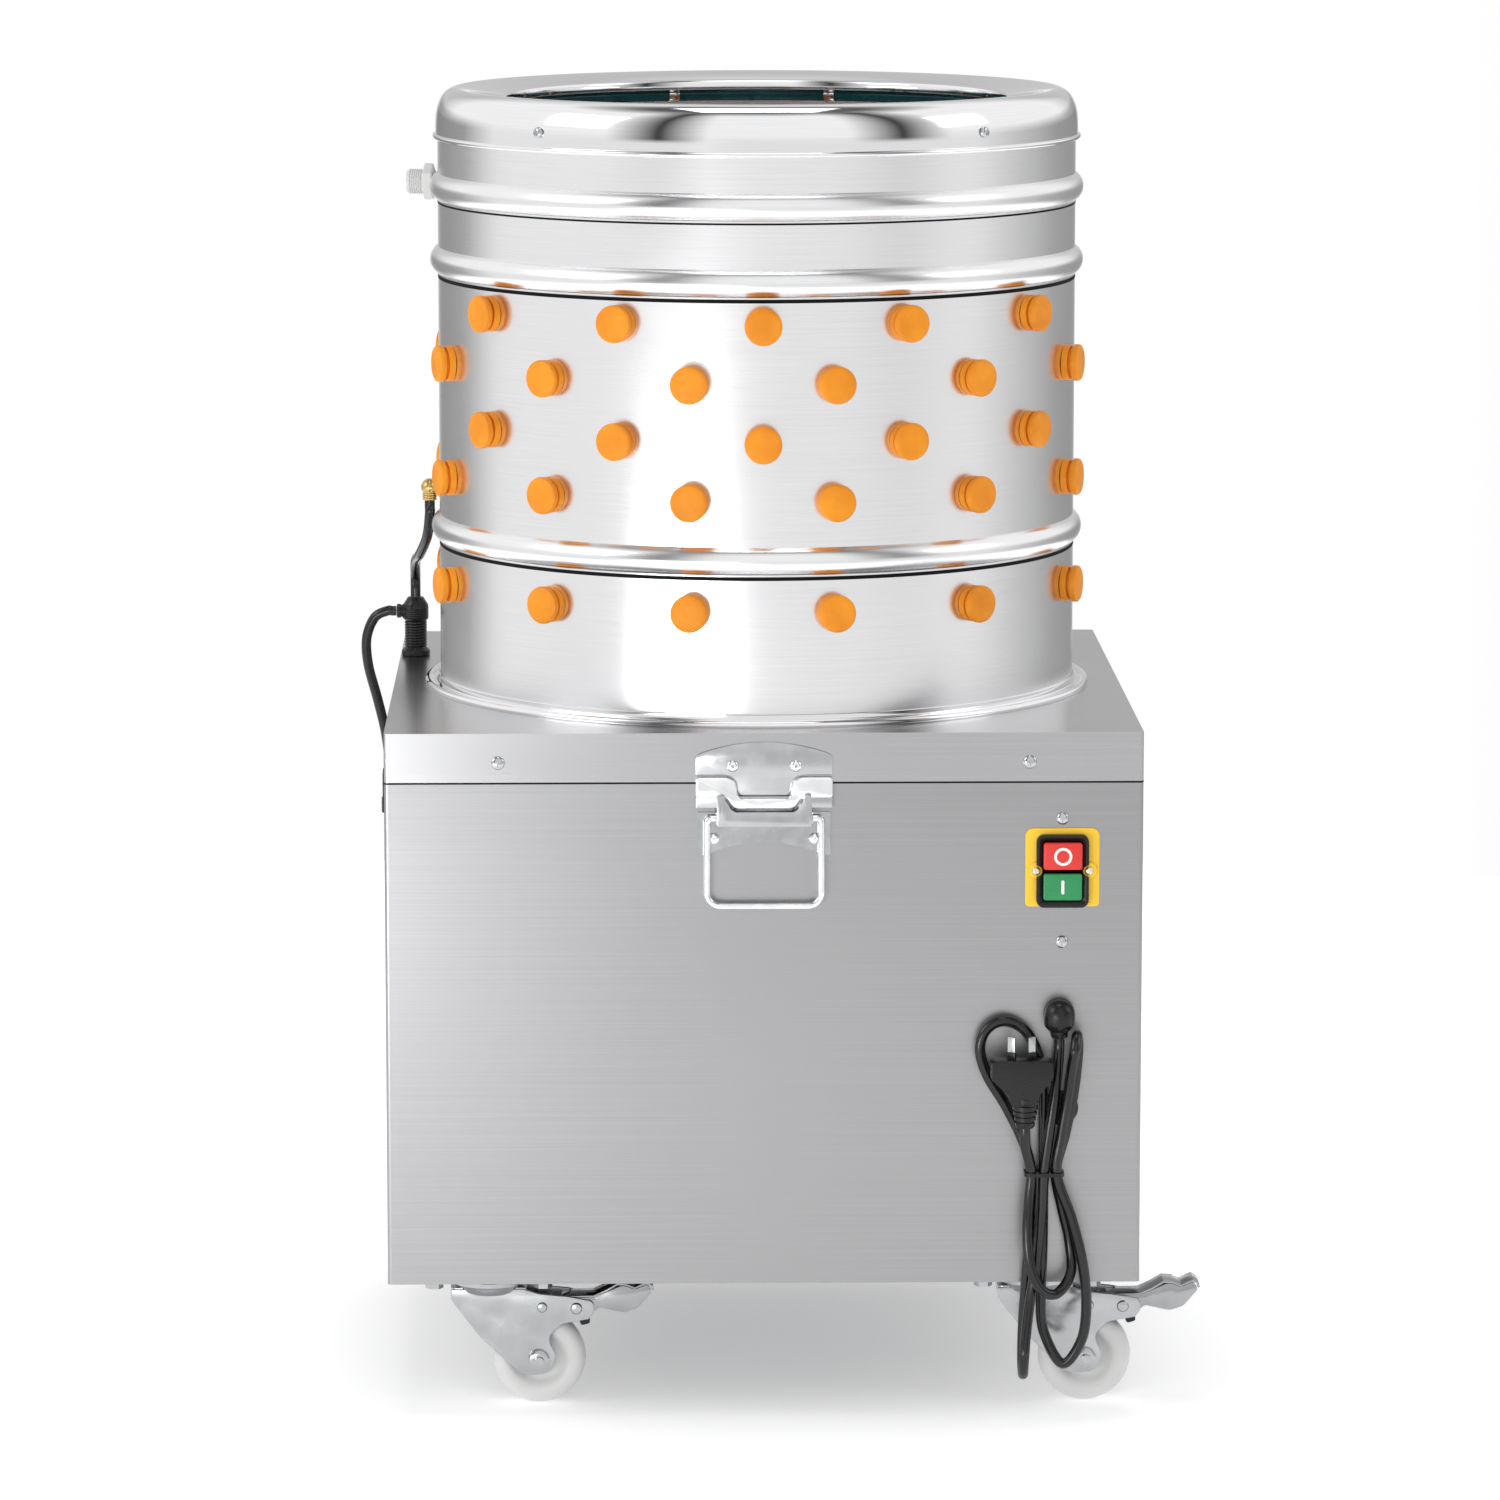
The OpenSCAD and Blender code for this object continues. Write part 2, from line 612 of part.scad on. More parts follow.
module pulley(pitch_d, hub, web_t, bore_r) {
  rim = pitch_d / 2 + belt_h / 2;
  wide = belt_top_w + 9;
  difference() {
    union() {
      translate([0, 0, -wide / 2]) cylinder(r = rim, h = wide);
      translate([0, 0, -wide / 2 - 6]) cylinder(r = hub, h = wide + 6);
    }
    rotate_extrude() translate([pitch_d / 2, 0]) union() {
      belt_section(0.3);
      translate([-belt_h / 2 - 2, -belt_low_w / 2]) square([3, belt_low_w]);
      translate([belt_h / 2, -belt_top_w / 2 - 0.3]) square([4, belt_top_w + 0.6]);
    }
    for (s = [0, 1]) mirror([0, 0, s]) translate([0, 0, web_t / 2]) difference() {
      cylinder(r = rim - 18, h = wide);
      cylinder(r = hub, h = wide);
    }
    translate([0, 0, -wide]) cylinder(r = bore_r, h = 2 * wide);
  }
}
module driven_pulley() color("dimgray") translate([0, 0, z_belt]) difference() {
  pulley(driven_pitch_d, 28, 7, shaft_r + run / 2);
  for (a = [0 : 60 : 300]) rotate([0, 0, a]) translate([driven_pitch_d * 0.28, 0, -9])
    cylinder(r = driven_pitch_d * 0.08, h = 18);
}
module motor_pulley() color("dimgray") translate([0, motor_y, z_belt])
  pulley(motor_pitch_d, motor_pitch_d / 2 + belt_h / 2 - 4, 30, motor_shaft_d / 2 + run / 2);
module motor_shaft() color("silver") translate([0, motor_y, z_shaft_low])
  cylinder(r = motor_shaft_d / 2, h = z_bracket + motor_h * 0.7 - z_shaft_low);
module main_shaft() color("silver") translate([0, 0, z_shaft_low])
  cylinder(r = shaft_r, h = z_plate - plate_t - 4 - z_shaft_low);

// Turntable
module turntable_hub() color("lightsteelblue") difference() {
  translate([0, 0, z_plate - plate_t]) union() {
    translate([0, 0, -hub_h]) cylinder(r = hub_r, h = hub_h);
    translate([0, 0, -9]) cylinder(r = hub_flange_r, h = 9);
    for (a = [45 : 90 : 315]) rotate([0, 0, a]) translate([hub_flange_r - 13, 0, 0]) {
      cylinder(r = 4, h = plate_t + 1);
      translate([0, 0, plate_t]) cylinder(r = 7, h = 5, $fn = 6);
    }
  }
  translate([0, 0, z_shaft_low]) cylinder(r = shaft_r + run / 2, h = z_plate - plate_t - 4 - z_shaft_low);
}
module turntable() color("gainsboro") difference() {
  translate([0, 0, z_plate - plate_t]) union() {
    cylinder(r = plate_r, h = plate_t);
    translate([0, 0, -6]) difference() {
      cylinder(r = plate_r, h = 8);
      translate([0, 0, -1]) cylinder(r = plate_r - plate_t, h = 10);
    }
  }
  at_plate_fingers() translate([0, 0, -plate_t - 1]) cylinder(r = finger_hole_d / 2, h = plate_t + 2);
  for (a = [45 : 90 : 315]) rotate([0, 0, a]) translate([hub_flange_r - 13, 0, z_plate - plate_t - 1])
    cylinder(r = 4 + fit, h = plate_t + 2);
}
module at_plate_fingers() {
  for (k = [0 : len(plate_rings) - 1]) for (i = [0 : plate_counts[k] - 1])
    rotate([0, 0, (i + 0.5 * (k % 2)) * 360 / plate_counts[k]])
      translate([plate_rings[k], 0, z_plate]) children();
}
// One finger along Z: the head outside at +Z, the ribbed stem at -Z, its seat face at 0
module finger(neck_l) {
  stem_top = -neck_l - collar_t;
  stem_low = -finger_l + tip_r;
  rib_step = (stem_top - stem_low) / finger_ribs;
  rotate_extrude() union() {
    polygon(concat(
      [[0, seat_t + groove_t + head_t], [head_d / 2 - 1, seat_t + groove_t + head_t],
        [head_d / 2, seat_t + groove_t + head_t - 1], [head_d / 2, seat_t + groove_t],
        [groove_r, seat_t + groove_t], [groove_r, seat_t], [seat_r, seat_t], [seat_r, 0],
        [neck_r, 0], [neck_r, -neck_l], [collar_r, -neck_l], [collar_r, stem_top + 1],
        [collar_r - 1, stem_top]],
      [for (i = [0 : finger_ribs - 1]) let (z = stem_top - i * rib_step,
        r = stem_r + (tip_r - stem_r) * i / finger_ribs)
        each [[r, z], [r, z - rib_step * 0.4], [r + rib_h, z - rib_step * 0.5],
          [r + rib_h, z - rib_step * 0.7], [r, z - rib_step * 0.8]]],
      [[tip_r, stem_low], [tip_r * 0.8, stem_low - tip_r * 0.6], [0, stem_low - tip_r]]));
  }
}
module plate_fingers() color("orange") at_plate_fingers() translate([0, 0, -plate_t])
  mirror([0, 0, 1]) finger(plate_t + run);

// Drum unit
module top_cover() color("silver") difference() {
  translate([0, 0, z_cover]) linear_extrude(cover_h) plate_2d(cabinet_w, cabinet_d, bend_r);
  translate([0, 0, z_cover - 1]) linear_extrude(cover_h - sheet + 1)
    plate_2d(cabinet_w - 2 * sheet, cabinet_d - 2 * sheet, bend_r - sheet);
  translate([0, 0, z_cover]) cylinder(r = cover_hole_r, h = 2 * cover_h);
  for (x = [-1, 1]) on_front(x * skirt_screw_x, z_cover + 16, front + 9) cylinder(r = 2 + fit, h = 10);
  for (x = [-1, 1]) on_front(x * 25, z_seam + 14, front + 9) cylinder(r = 2 + fit, h = 10);
}
module foot_ring() color("silver") rotate_extrude() translate([0, z_top]) union() {
  translate([drum_r + fit, 0]) square([foot_r - drum_r - fit - 3, foot_t]);
  translate([drum_r + fit, 0]) square([drum_t, 9]);
  intersection() {
    translate([foot_r - 3.5, 1.5]) circle(3.5);
    translate([drum_r, 0]) square([40, 20]);
  }
}
function column_angle(k) = 360 * k / columns - column_crowd * sin(720 * k / columns);
module at_wall_fingers() {
  for (row = [0 : upper_rows - 1]) for (k = [0 : columns - 1]) let (shift = row % 2 == 0 ? 0.5 : 0)
    if (shift > 0 || k % (columns / 2) != columns / 4)
      on_drum(column_angle(k + shift), z_top + second_row_h + row * row_pitch, drum_r) children();
  for (k = [0 : columns - 1]) on_drum(column_angle(k + 0.5), z_top + low_row_h, drum_r) children();
}
module drum() color("gainsboro") difference() {
  union() {
    translate([0, 0, z_top]) cylinder(r = drum_r, h = drum_h);
    for (h = bead_rows) rotate_extrude() bead(h, bead_r);
  }
  translate([0, 0, z_top - 1]) cylinder(r = drum_r - drum_t, h = drum_h + 2);
  for (h = bead_rows) rotate_extrude() bead(h, bead_r - drum_t);
  at_wall_fingers() translate([0, 0, -20]) cylinder(r = finger_hole_d / 2, h = 40);
  on_drum(inlet_angle, z_inlet, drum_r) translate([0, 0, -20]) cylinder(r = inlet_shank_r + fit, h = 60);
  on_drum(fitting_angle, z_fitting, drum_r) translate([0, 0, -20]) cylinder(r = 5 + fit, h = 60);
  for (a = rim_screw_angles) on_drum(a, z_rim_screw, drum_r) translate([0, 0, -9])
    cylinder(r = 2 + fit, h = 20);
}
module bead(h, r) {
  translate([drum_r + bead_rise - bead_r, z_top + h]) circle(r);
}
function arc(x, z, r, from, to, n) = [for (k = [0 : n]) let (a = from + (to - from) * k / n)
  [x + r * cos(a), z + r * sin(a)]];
module rim_ring() color("silver") difference() {
  rotate_extrude() polygon(concat([[rim_in_r, z_rim]],
    arc(rim_out_r, z_rim + hem_r, hem_r, -90, 90, 6),
    arc(crest_r, z_shoulder, shoulder_r, 0, 90, 12),
    [[mouth_r, z_mouth], [mouth_r, z_mouth - lip_h], [mouth_r + rim_t, z_mouth - lip_h],
      [mouth_r + rim_t, z_mouth - rim_t + rim_cone * rim_t]],
    arc(crest_r, z_shoulder, shoulder_r - rim_t, 90, 0, 12)));
  for (a = rim_screw_angles) on_drum(a, z_rim_screw, rim_in_r) translate([0, 0, -5])
    cylinder(r = 2 + fit, h = 20);
}
module wall_fingers() color("orange") at_wall_fingers() finger(drum_r - wall_in);
module upper_fasteners() color("gainsboro") {
  for (x = [-1, 1]) on_front(x * skirt_screw_x, z_cover + 16) pan_screw(5.5, 2, 8);
  for (x = [-1, 1]) on_front(x * 25, z_seam + 14, front - latch_t) rivet(rivet_r, latch_t + 6);
  for (a = rim_screw_angles) on_drum(a, z_rim_screw, rim_out_r) pan_screw(4.5, 2, 9);
}

// Water: the inlet's nut on the top bead, a riser and the spray ring under the rim
inlet_angle = -98;
z_inlet = z_top + top_bead_h;
inlet_shank_r = 7;
inlet_seat = drum_r + bead_rise;
inlet_thread_r = 10.48;
module water_inlet() color("whitesmoke") on_drum(inlet_angle, z_inlet, 0) difference() {
  union() {
    translate([0, 0, inlet_seat + 0.1]) cylinder(r = 15, h = 8, $fn = 6);
    translate([0, 0, inlet_seat + 8]) cylinder(r = inlet_thread_r, h = 14);
    translate([0, 0, spray_r]) cylinder(r = inlet_shank_r, h = inlet_seat - spray_r + 5);
    translate([0, 0, spray_r]) sphere(r = spray_d / 2 + 2.5);
    translate([0, 0, spray_r]) rotate([0, -90, 0]) cylinder(r = spray_d / 2 + 2, h = 16);
  }
  translate([0, 0, spray_r + 4]) cylinder(r = 4.5, h = 200);
  translate([0, 0, spray_r]) rotate([0, -90, 0]) translate([0, 0, 8])
    cylinder(r = spray_d / 2, h = 20);
}
module spray_hose() color("teal") union() {
  rotate_extrude() translate([spray_r, z_spray]) circle(spray_d / 2);
  on_drum(inlet_angle, z_inlet, spray_r) rotate([0, -90, 0]) translate([0, 0, 8])
    cylinder(r = spray_d / 2 - run, h = z_spray - z_inlet - 8);
}
module spray_clips() color("silver") difference() {
  for (a = [162.5, 52, -52]) rotate([0, 0, a - 90]) translate([spray_r, 0, z_spray]) difference() {
    union() {
      rotate([90, 0, 0]) cylinder(r = spray_d / 2 + 1.1, h = 9, center = true);
      translate([-1, -4.5, spray_d / 2 - 1]) cube([5, 9, 16]);
    }
    rotate([90, 0, 0]) cylinder(r = spray_d / 2 + run, h = 20, center = true);
  }
  rotate_extrude() polygon([[mouth_r - 5, z_mouth - rim_t - 0.05 - 5 * rim_cone],
    [crest_r, z_crest - rim_t - 0.05], [crest_r, z_crest + 30], [mouth_r - 5, z_crest + 30]]);
}
rim_cone = rim_dip / (crest_r - mouth_r);
module hose_fitting() color("darkkhaki") on_drum(fitting_angle, z_fitting, drum_r) union() {
  translate([0, 0, -6]) cylinder(r = 5, h = 20);
  translate([0, 0, 0.1]) cylinder(r = 9, h = 4, $fn = 6);
  translate([0, 0, fitting_out]) sphere(r = 7);
  translate([0, 0, fitting_out]) rotate([0, 90, 0]) cylinder(r = 5.5, h = z_fitting - hose_at[2] - pass);
}
module hose_couplings() color("black") {
  translate([union_at[0], union_at[1], z_top]) difference() {
    union() {
      rotate_extrude() polygon([[0, 0], [12, 0], [12, 5], [9.5, 7], [9.5, 30], [11, 32], [11, 44],
        [7, union_h], [0, union_h]]);
      translate([0, 0, loop_at[2] - z_top]) rotate([0, -90, 0])
        cylinder(r = 6, h = union_at[0] - loop_at[0] - pass);
    }
    translate([0, 0, -1]) cylinder(r = 3.5, h = 30);
  }
  end = hose_loop[len(hose_loop) - 1];
  translate([end[0], end[1], end[2] - 38 - pass]) rotate_extrude() polygon([[4, 0], [10, 0], [10, 14],
    [8, 16], [8, 34], [6.5, 38], [0, 38], [0, 20], [4, 18]]);
}
module water_hose() color("black") {
  part_tube(smooth(hose_top), 0, (len(hose_top) - 1) * cord_steps, hose_d, cord_sides);
  part_tube(smooth(hose_loop), 0, (len(hose_loop) - 1) * cord_steps, hose_d, cord_sides);
}

// Rear hinge: two outer knuckles on the cabinet, one between them on the cover
module knuckle(from, to, r) {
  translate([from, hinge_y, z_hinge]) rotate([0, 90, 0]) cylinder(r = r, h = to - from);
}
module rear_hinges() color("silver") for (x = [-hinge_x, hinge_x]) translate([x, 0, 0]) {
  difference() {
    union() {
      block([-hinge_w / 2, half_d, z_hinge - 38], [hinge_w / 2, half_d + 2, z_hinge - 1]);
      knuckle(-hinge_w / 2, -hinge_w / 6, hinge_r);
      knuckle(hinge_w / 6, hinge_w / 2, hinge_r);
    }
    knuckle(-hinge_w / 6 - 0.01, hinge_w / 6 + 0.01, hinge_r + pass);
    knuckle(-hinge_w, hinge_w, hinge_pin_r + run);
    block([-hinge_w, half_d - 20, z_seam - 60], [hinge_w, half_d, z_top]);
  }
  knuckle(-hinge_w / 2 - 2, hinge_w / 2 + 2, hinge_pin_r);
}
module cover_hinges() color("silver") for (x = [-hinge_x, hinge_x]) translate([x, 0, 0]) difference() {
  union() {
    block([-hinge_w / 2, half_d, z_hinge + 1], [hinge_w / 2, half_d + 2, z_hinge + 34]);
    knuckle(-hinge_w / 6 + pass, hinge_w / 6 - pass, hinge_r);
  }
  knuckle(-hinge_w / 2 - 1, -hinge_w / 6 + pass, hinge_r + pass);
  knuckle(hinge_w / 6 - pass, hinge_w / 2 + 1, hinge_r + pass);
  knuckle(-hinge_w, hinge_w, hinge_pin_r + run);
  block([-hinge_w, half_d - 20, z_seam - 60], [hinge_w, half_d, z_top]);
}

// Latch on the front
module keeper_plate() color("lightgray") difference() {
  on_front(0, 0) linear_extrude(latch_t) union() {
    intersection() {
      translate([-latch_w / 2, keeper_low]) square([latch_w, keeper_top - keeper_low]);
      translate([0, keeper_top - 110]) circle(110, $fn = 96);
    }
    translate([-tongue_w / 2, tongue_low + 8]) square([tongue_w, keeper_low - tongue_low]);
    translate([-tongue_w / 2 + 8, tongue_low]) square([tongue_w - 16, 12]);
    for (x = [-1, 1]) translate([x * (tongue_w / 2 - 8), tongue_low + 8]) circle(8);
  }
  for (x = [-1, 1]) on_front(x * 25, z_seam + 14, front + 9) cylinder(r = 2 + fit, h = 20);
}
module latch_base() color("lightgray") difference() {
  base_top = z_latch_pivot + 4;
  base_low = z_latch_pivot - 30;
  union() {
    on_front(0, 0) linear_extrude(latch_t) difference() {
      translate([-latch_w / 2 + 1.5, base_low]) square([latch_w - 3, base_top - base_low]);
      translate([0, base_low - 110 + 10]) circle(110, $fn = 96);
    }
    for (x = [-1, 1]) translate([x * ear_x, 0, 0]) difference() {
      translate([-ear_t / 2, 0, 0]) rotate([90, 0, 90]) linear_extrude(ear_t) union() {
        translate([latch_pivot_y, z_latch_pivot]) circle(barrel_r);
        translate([latch_pivot_y, z_latch_pivot - barrel_r])
          square([front - latch_t - latch_pivot_y + 0.5, 2 * barrel_r - 2]);
      }
    }
  }
  translate([-latch_w, latch_pivot_y, z_latch_pivot]) rotate([0, 90, 0])
    cylinder(r = wire_r + run, h = 2 * latch_w);
  for (x = [-1, 1]) on_front(x * (latch_w / 2 - 14), z_latch_pivot - 17, front + 9)
    cylinder(r = 2 + fit, h = 20);
}
module latch_lever() color("lightgray") difference() {
  claw_low = z_latch_pivot + 10;
  claw_top = keeper_low - pass - 0.6;
  claw_y = front - latch_t - pass;
  union() {
    translate([-barrel_w / 2, latch_pivot_y, z_latch_pivot]) rotate([0, 90, 0])
      cylinder(r = barrel_r - 0.5, h = barrel_w);
    on_front(0, 0, latch_pivot_y + barrel_r - 0.5) linear_extrude(latch_t) union() {
      translate([-barrel_w / 2, z_latch_pivot]) square([barrel_w, claw_low - z_latch_pivot]);
      translate([-latch_w / 2, claw_low - 2]) square([latch_w, 11]);
      for (x = [-latch_w / 2, tongue_w / 2 + 2.5]) translate([x, claw_low])
        square([(latch_w - tongue_w) / 2 - 2.5, claw_top - claw_low]);
    }
    for (x = [-latch_w / 2, tongue_w / 2 + 2.5]) translate([x, 0, claw_top - 4.5])
      rotate([90, 0, 90]) linear_extrude((latch_w - tongue_w) / 2 - 2.5)
        translate([claw_y - 3, 0]) circle(3.4);
  }
  translate([-latch_w, latch_pivot_y, z_latch_pivot]) rotate([0, 90, 0])
    cylinder(r = wire_r + run, h = 2 * latch_w);
  on_front(0, 0, front) linear_extrude(40) union() {
    translate([-tongue_w / 2 - pass - 2, tongue_low - 2]) square([tongue_w + 2 * pass + 4, 60]);
  }
  block([-latch_w, claw_y, z_base], [latch_w, half_d, z_top]);
}
// Wire bail: legs down from the pivot, round corners, ends turned in through the ears
module latch_bail() color("whitesmoke") translate([0, latch_pivot_y, z_latch_pivot]) {
  corner = 11;
  leg_x = bail_w / 2 - wire_r;
  elbow = 4;
  for (s = [0, 1]) mirror([s, 0, 0]) {
    translate([26, 0, 0]) rotate([0, 90, 0]) cylinder(r = wire_r, h = leg_x - elbow - 26);
    translate([leg_x - elbow, 0, -elbow]) rotate([90, 0, 0])
      rotate_extrude(angle = 90) translate([elbow, 0]) circle(wire_r);
    translate([leg_x, 0, -bail_drop + wire_r + corner])
      cylinder(r = wire_r, h = bail_drop - wire_r - corner - elbow);
    translate([leg_x - corner, 0, -bail_drop + wire_r + corner]) rotate([90, 0, 0])
      rotate([0, 0, -90]) rotate_extrude(angle = 90) translate([corner, 0]) circle(wire_r);
    translate([0, 0, -bail_drop + wire_r]) rotate([0, 90, 0])
      cylinder(r = wire_r, h = leg_x - corner);
  }
}

// Switch, overload reset and cord gland
// Round bosses beside the frame, cut flat towards the buttons
module switch_bosses(r, inner) {
  for (s = [-1, 1]) translate([s * boss_x, -frame_drop]) intersection() {
    circle(r);
    translate([s * (inner - boss_x + r), 0]) square([2 * r, 2 * r], center = true);
  }
}
module switch_plate() color("gold") on_front(switch_x, switch_z) difference() {
  union() {
    linear_extrude(plate_thick) intersection() {
      square([plate_w, plate_h], center = true);
      rotate([0, 0, 45]) square([(plate_w + plate_h) * 0.63, (plate_w + plate_h) * 0.63], center = true);
    }
    linear_extrude(plate_thick + 2.5) switch_bosses(boss_r, boss_in + fit);
  }
  linear_extrude(20, center = true) difference() {
    translate([0, -frame_drop]) plate_2d(frame_w + 2 * fit, frame_h + 2 * fit, 6);
    switch_bosses(boss_r, boss_in + fit);
  }
  for (x = [-1, 1]) translate([x * boss_x, -frame_drop, -1])
    cylinder(r = 1.7 + fit, h = 9);
}
module button_hole(w, h, z) {
  translate([0, z, -1]) linear_extrude(40) plate_2d(w, h, 2.4);
}
module switch_frame() color("black") on_front(switch_x, switch_z - frame_drop) difference() {
  union() {
    linear_extrude(frame_deep) plate_2d(frame_w, frame_h, 6);
  }
  for (s = [-1, 1]) button_hole(button_w + 2 * pass, button_h + 2 * pass, s * (button_h / 2 + 1.7));
  translate([0, frame_drop, -1]) linear_extrude(20) switch_bosses(boss_r + fit, boss_in);
}
module push_button(s, rise) {
  on_front(switch_x, switch_z - frame_drop, front + 6) translate([0, s * (button_h / 2 + 1.7), 0])
    linear_extrude(rise + 6) plate_2d(button_w, button_h, 2);
}
module stop_button() color("red") push_button(1, frame_deep + 3.6);
module start_button() color("green") push_button(-1, frame_deep + 1.6);
module switch_box() color("dimgray") on_front(switch_x, switch_z - 10.5, front + sheet) mirror([0, 0, 1])
  difference() {
    union() {
      translate([0, 10.5 - frame_drop, 0]) linear_extrude(box_deep) plate_2d(box_w, frame_h + 12, 5);
      linear_extrude(4) plate_2d(box_w - 10, box_h, 5);
    }
    translate([0, 10.5 - frame_drop, -1]) linear_extrude(box_deep + 1 - box_t)
      plate_2d(box_w - 2 * box_t, frame_h + 12 - 2 * box_t, 3);
    for (dz = box_screw_rise) translate([0, dz + 10.5, -1]) cylinder(r = 2 + fit, h = 9);
  }
module front_fasteners() color("gainsboro") {
  for (dz = box_screw_rise) on_front(switch_x, switch_z + dz) pan_screw(5, 2, 6);
  for (x = [-1, 1]) on_front(switch_x + x * boss_x, switch_z - frame_drop,
    front - plate_thick - 2.5) pan_screw(boss_x - boss_in - fit, 1.7, 9);
  for (x = [-1, 1]) on_front(x * (latch_w / 2 - 14), z_latch_pivot - 17, front - latch_t)
    rivet(rivet_r, latch_t + 6);
}
module cord_gland() color("black") on_front(switch_x - 2, gland_z) difference() {
  union() {
    translate([0, 0, -sheet - 6]) cylinder(r = 8, h = 12);
    cylinder(r = gland_r, h = 5);
    translate([0, 0, 5]) sphere(r = gland_r);
    translate([0, 0, gland_out]) rotate([90, 0, 0]) cylinder(r1 = 8.5, r2 = 6.4, h = gland_l);
  }
  translate([0, 0, -sheet]) difference() {
    translate([0, 0, -30]) cylinder(r = 40, h = 30 + sheet);
    translate([0, 0, -40]) cylinder(r = 8, h = 50);
  }
}
module reset_collar() color("black") on_front(switch_x, reset_z) difference() {
  union() {
    rotate_extrude() polygon([[0, 0], [reset_r, 0], [reset_r, 1.4], [reset_r - 2, 2.6], [0, 2.6]]);
    translate([0, 0, -22]) cylinder(r = 11, h = 22.5);
  }
  translate([0, 0, -18]) cylinder(r = reset_button_r + pass, h = 40);
}
module reset_button() color("darkred") on_front(switch_x, reset_z)
  translate([0, 0, -14]) cylinder(r = reset_button_r, h = 17.4);

// Casters: pressed fork on a ball race, wheel on its bolt, brake pedal on the front pair
module place_caster(x, y) {
  translate([x * caster_x, y * caster_y, 0]) children();
}
module fork_side() {
  difference() {
    union() {
      polygon([[-31, 94], [-31, 84], [-8, 56], [trail - 12, wheel_r - 8], [trail + 8, wheel_r - 12],
        [trail + 13, wheel_r + 6], [trail + 7, wheel_r + 22], [pedal_x + 2, pedal_z - 9],
        [pedal_x + 12, pedal_z - 8], [pedal_x + 14, pedal_z], [pedal_x + 8, pedal_z + 8],
        [trail + 6, 88], [trail - 10, 94]]);
      translate([trail, wheel_r]) circle(14);
    }
    translate([trail + 22, wheel_r + 14]) circle(12);
  }
}
module fork(x, y) color("gainsboro") place_caster(x, y) {
  crown_z = z_base - caster_plate_t - 12;
  difference() {
    union() {
      for (s = [0, 1]) mirror([0, s, 0]) translate([0, -fork_in, 0]) rotate([90, 0, 0])
        linear_extrude(fork_t) fork_side();
      block([-31, -fork_in - fork_t, crown_z - 3], [trail - 10, fork_in + fork_t, crown_z - 0.5]);
      translate([0, 0, crown_z - 3]) cylinder(r1 = race_r - 4, r2 = race_r, h = 11.4);
    }
    translate([0, 0, crown_z - 20]) cylinder(r = 6 + run, h = 60);
    translate([0, 0, crown_z + 5]) cylinder(r1 = race_r - 8, r2 = race_r - 1, h = 8);
    translate([trail, -fork_in - 10, wheel_r]) rotate([-90, 0, 0])
      cylinder(r = axle_r + run / 2, h = 2 * fork_in + 20);
    translate([pedal_x, -fork_in - 10, pedal_z]) rotate([-90, 0, 0])
      cylinder(r = pedal_pin_r + run, h = 2 * fork_in + 20);
  }
  translate([trail, -fork_in - fork_t - 5, wheel_r]) rotate([-90, 0, 0]) {
    cylinder(r = 8.5, h = 5, $fn = 6);
    cylinder(r = axle_r, h = 2 * (fork_in + fork_t) + 10);
    translate([0, 0, 2 * (fork_in + fork_t) + 5]) cylinder(r = 8.5, h = 5, $fn = 6);
  }
}
module wheel(x, y) color("whitesmoke") place_caster(x, y) translate([trail, 0, wheel_r]) rotate([90, 0, 0])
  rotate_extrude() polygon([[axle_r + run, -wheel_w / 2 - 1.5], [10, -wheel_w / 2 - 1.5],
    [13, -wheel_w / 2 + 5], [wheel_r - 13, -wheel_w / 2 + 6], [wheel_r - 8, -wheel_w / 2],
    [wheel_r - 4, -wheel_w / 2 + 1], [wheel_r - 1, -wheel_w / 2 + 5], [wheel_r, -wheel_w / 4],
    [wheel_r, wheel_w / 4], [wheel_r - 1, wheel_w / 2 - 5], [wheel_r - 4, wheel_w / 2 - 1],
    [wheel_r - 8, wheel_w / 2], [wheel_r - 13, wheel_w / 2 - 6], [13, wheel_w / 2 - 5],
    [10, wheel_w / 2 + 1.5], [axle_r + run, wheel_w / 2 + 1.5]]);
module pedal_outline(lower) {
  polygon([[-14, 7], [10, 9], [24, 14], [36, 19], [48, 14], [56, 20], [62, 15], [58, 8],
    [50, 8 - lower], [38, 11 - lower], [24, 6 - lower], [12, 2 - lower], [8, -lower],
    [-4, -lower * 0.4], [-14, 1]]);
}
module pedal(x, y) color("gray") place_caster(x, y) translate([pedal_x, 0, pedal_z]) difference() {
  union() {
    rotate([90, 0, 0]) translate([0, 0, -pedal_half_w]) linear_extrude(2 * pedal_half_w)
      pedal_outline(10);
    rotate([90, 0, 0]) translate([0, 0, -10]) linear_extrude(20)
      polygon([[-2, -2], [9, -2], [11, -15], [4, -16]]);
    translate([0, -fork_in - fork_t - 2.5, 0]) rotate([-90, 0, 0])
      cylinder(r = pedal_pin_r, h = 2 * (fork_in + fork_t) + 5);
    for (s = [-1, 1]) translate([0, s * (fork_in + fork_t + 1.4), 0]) rotate([90, 0, 0])
      cylinder(r = 5, h = 2.2, center = true);
  }
  rotate([90, 0, 0]) translate([0, 0, -pedal_half_w + pedal_t]) linear_extrude(2 * (pedal_half_w - pedal_t))
    polygon([[12, 0], [24, 11.5], [36, 16.5], [48, 11.5], [58, 6], [50, -20], [12, -20]]);
}
module front_left_fork() fork(-1, -1);
module front_right_fork() fork(1, -1);
module rear_left_fork() fork(-1, 1);
module rear_right_fork() fork(1, 1);
module front_left_wheel() wheel(-1, -1);
module front_right_wheel() wheel(1, -1);
module rear_left_wheel() wheel(-1, 1);
module rear_right_wheel() wheel(1, 1);
module front_left_pedal() pedal(-1, -1);
module front_right_pedal() pedal(1, -1);

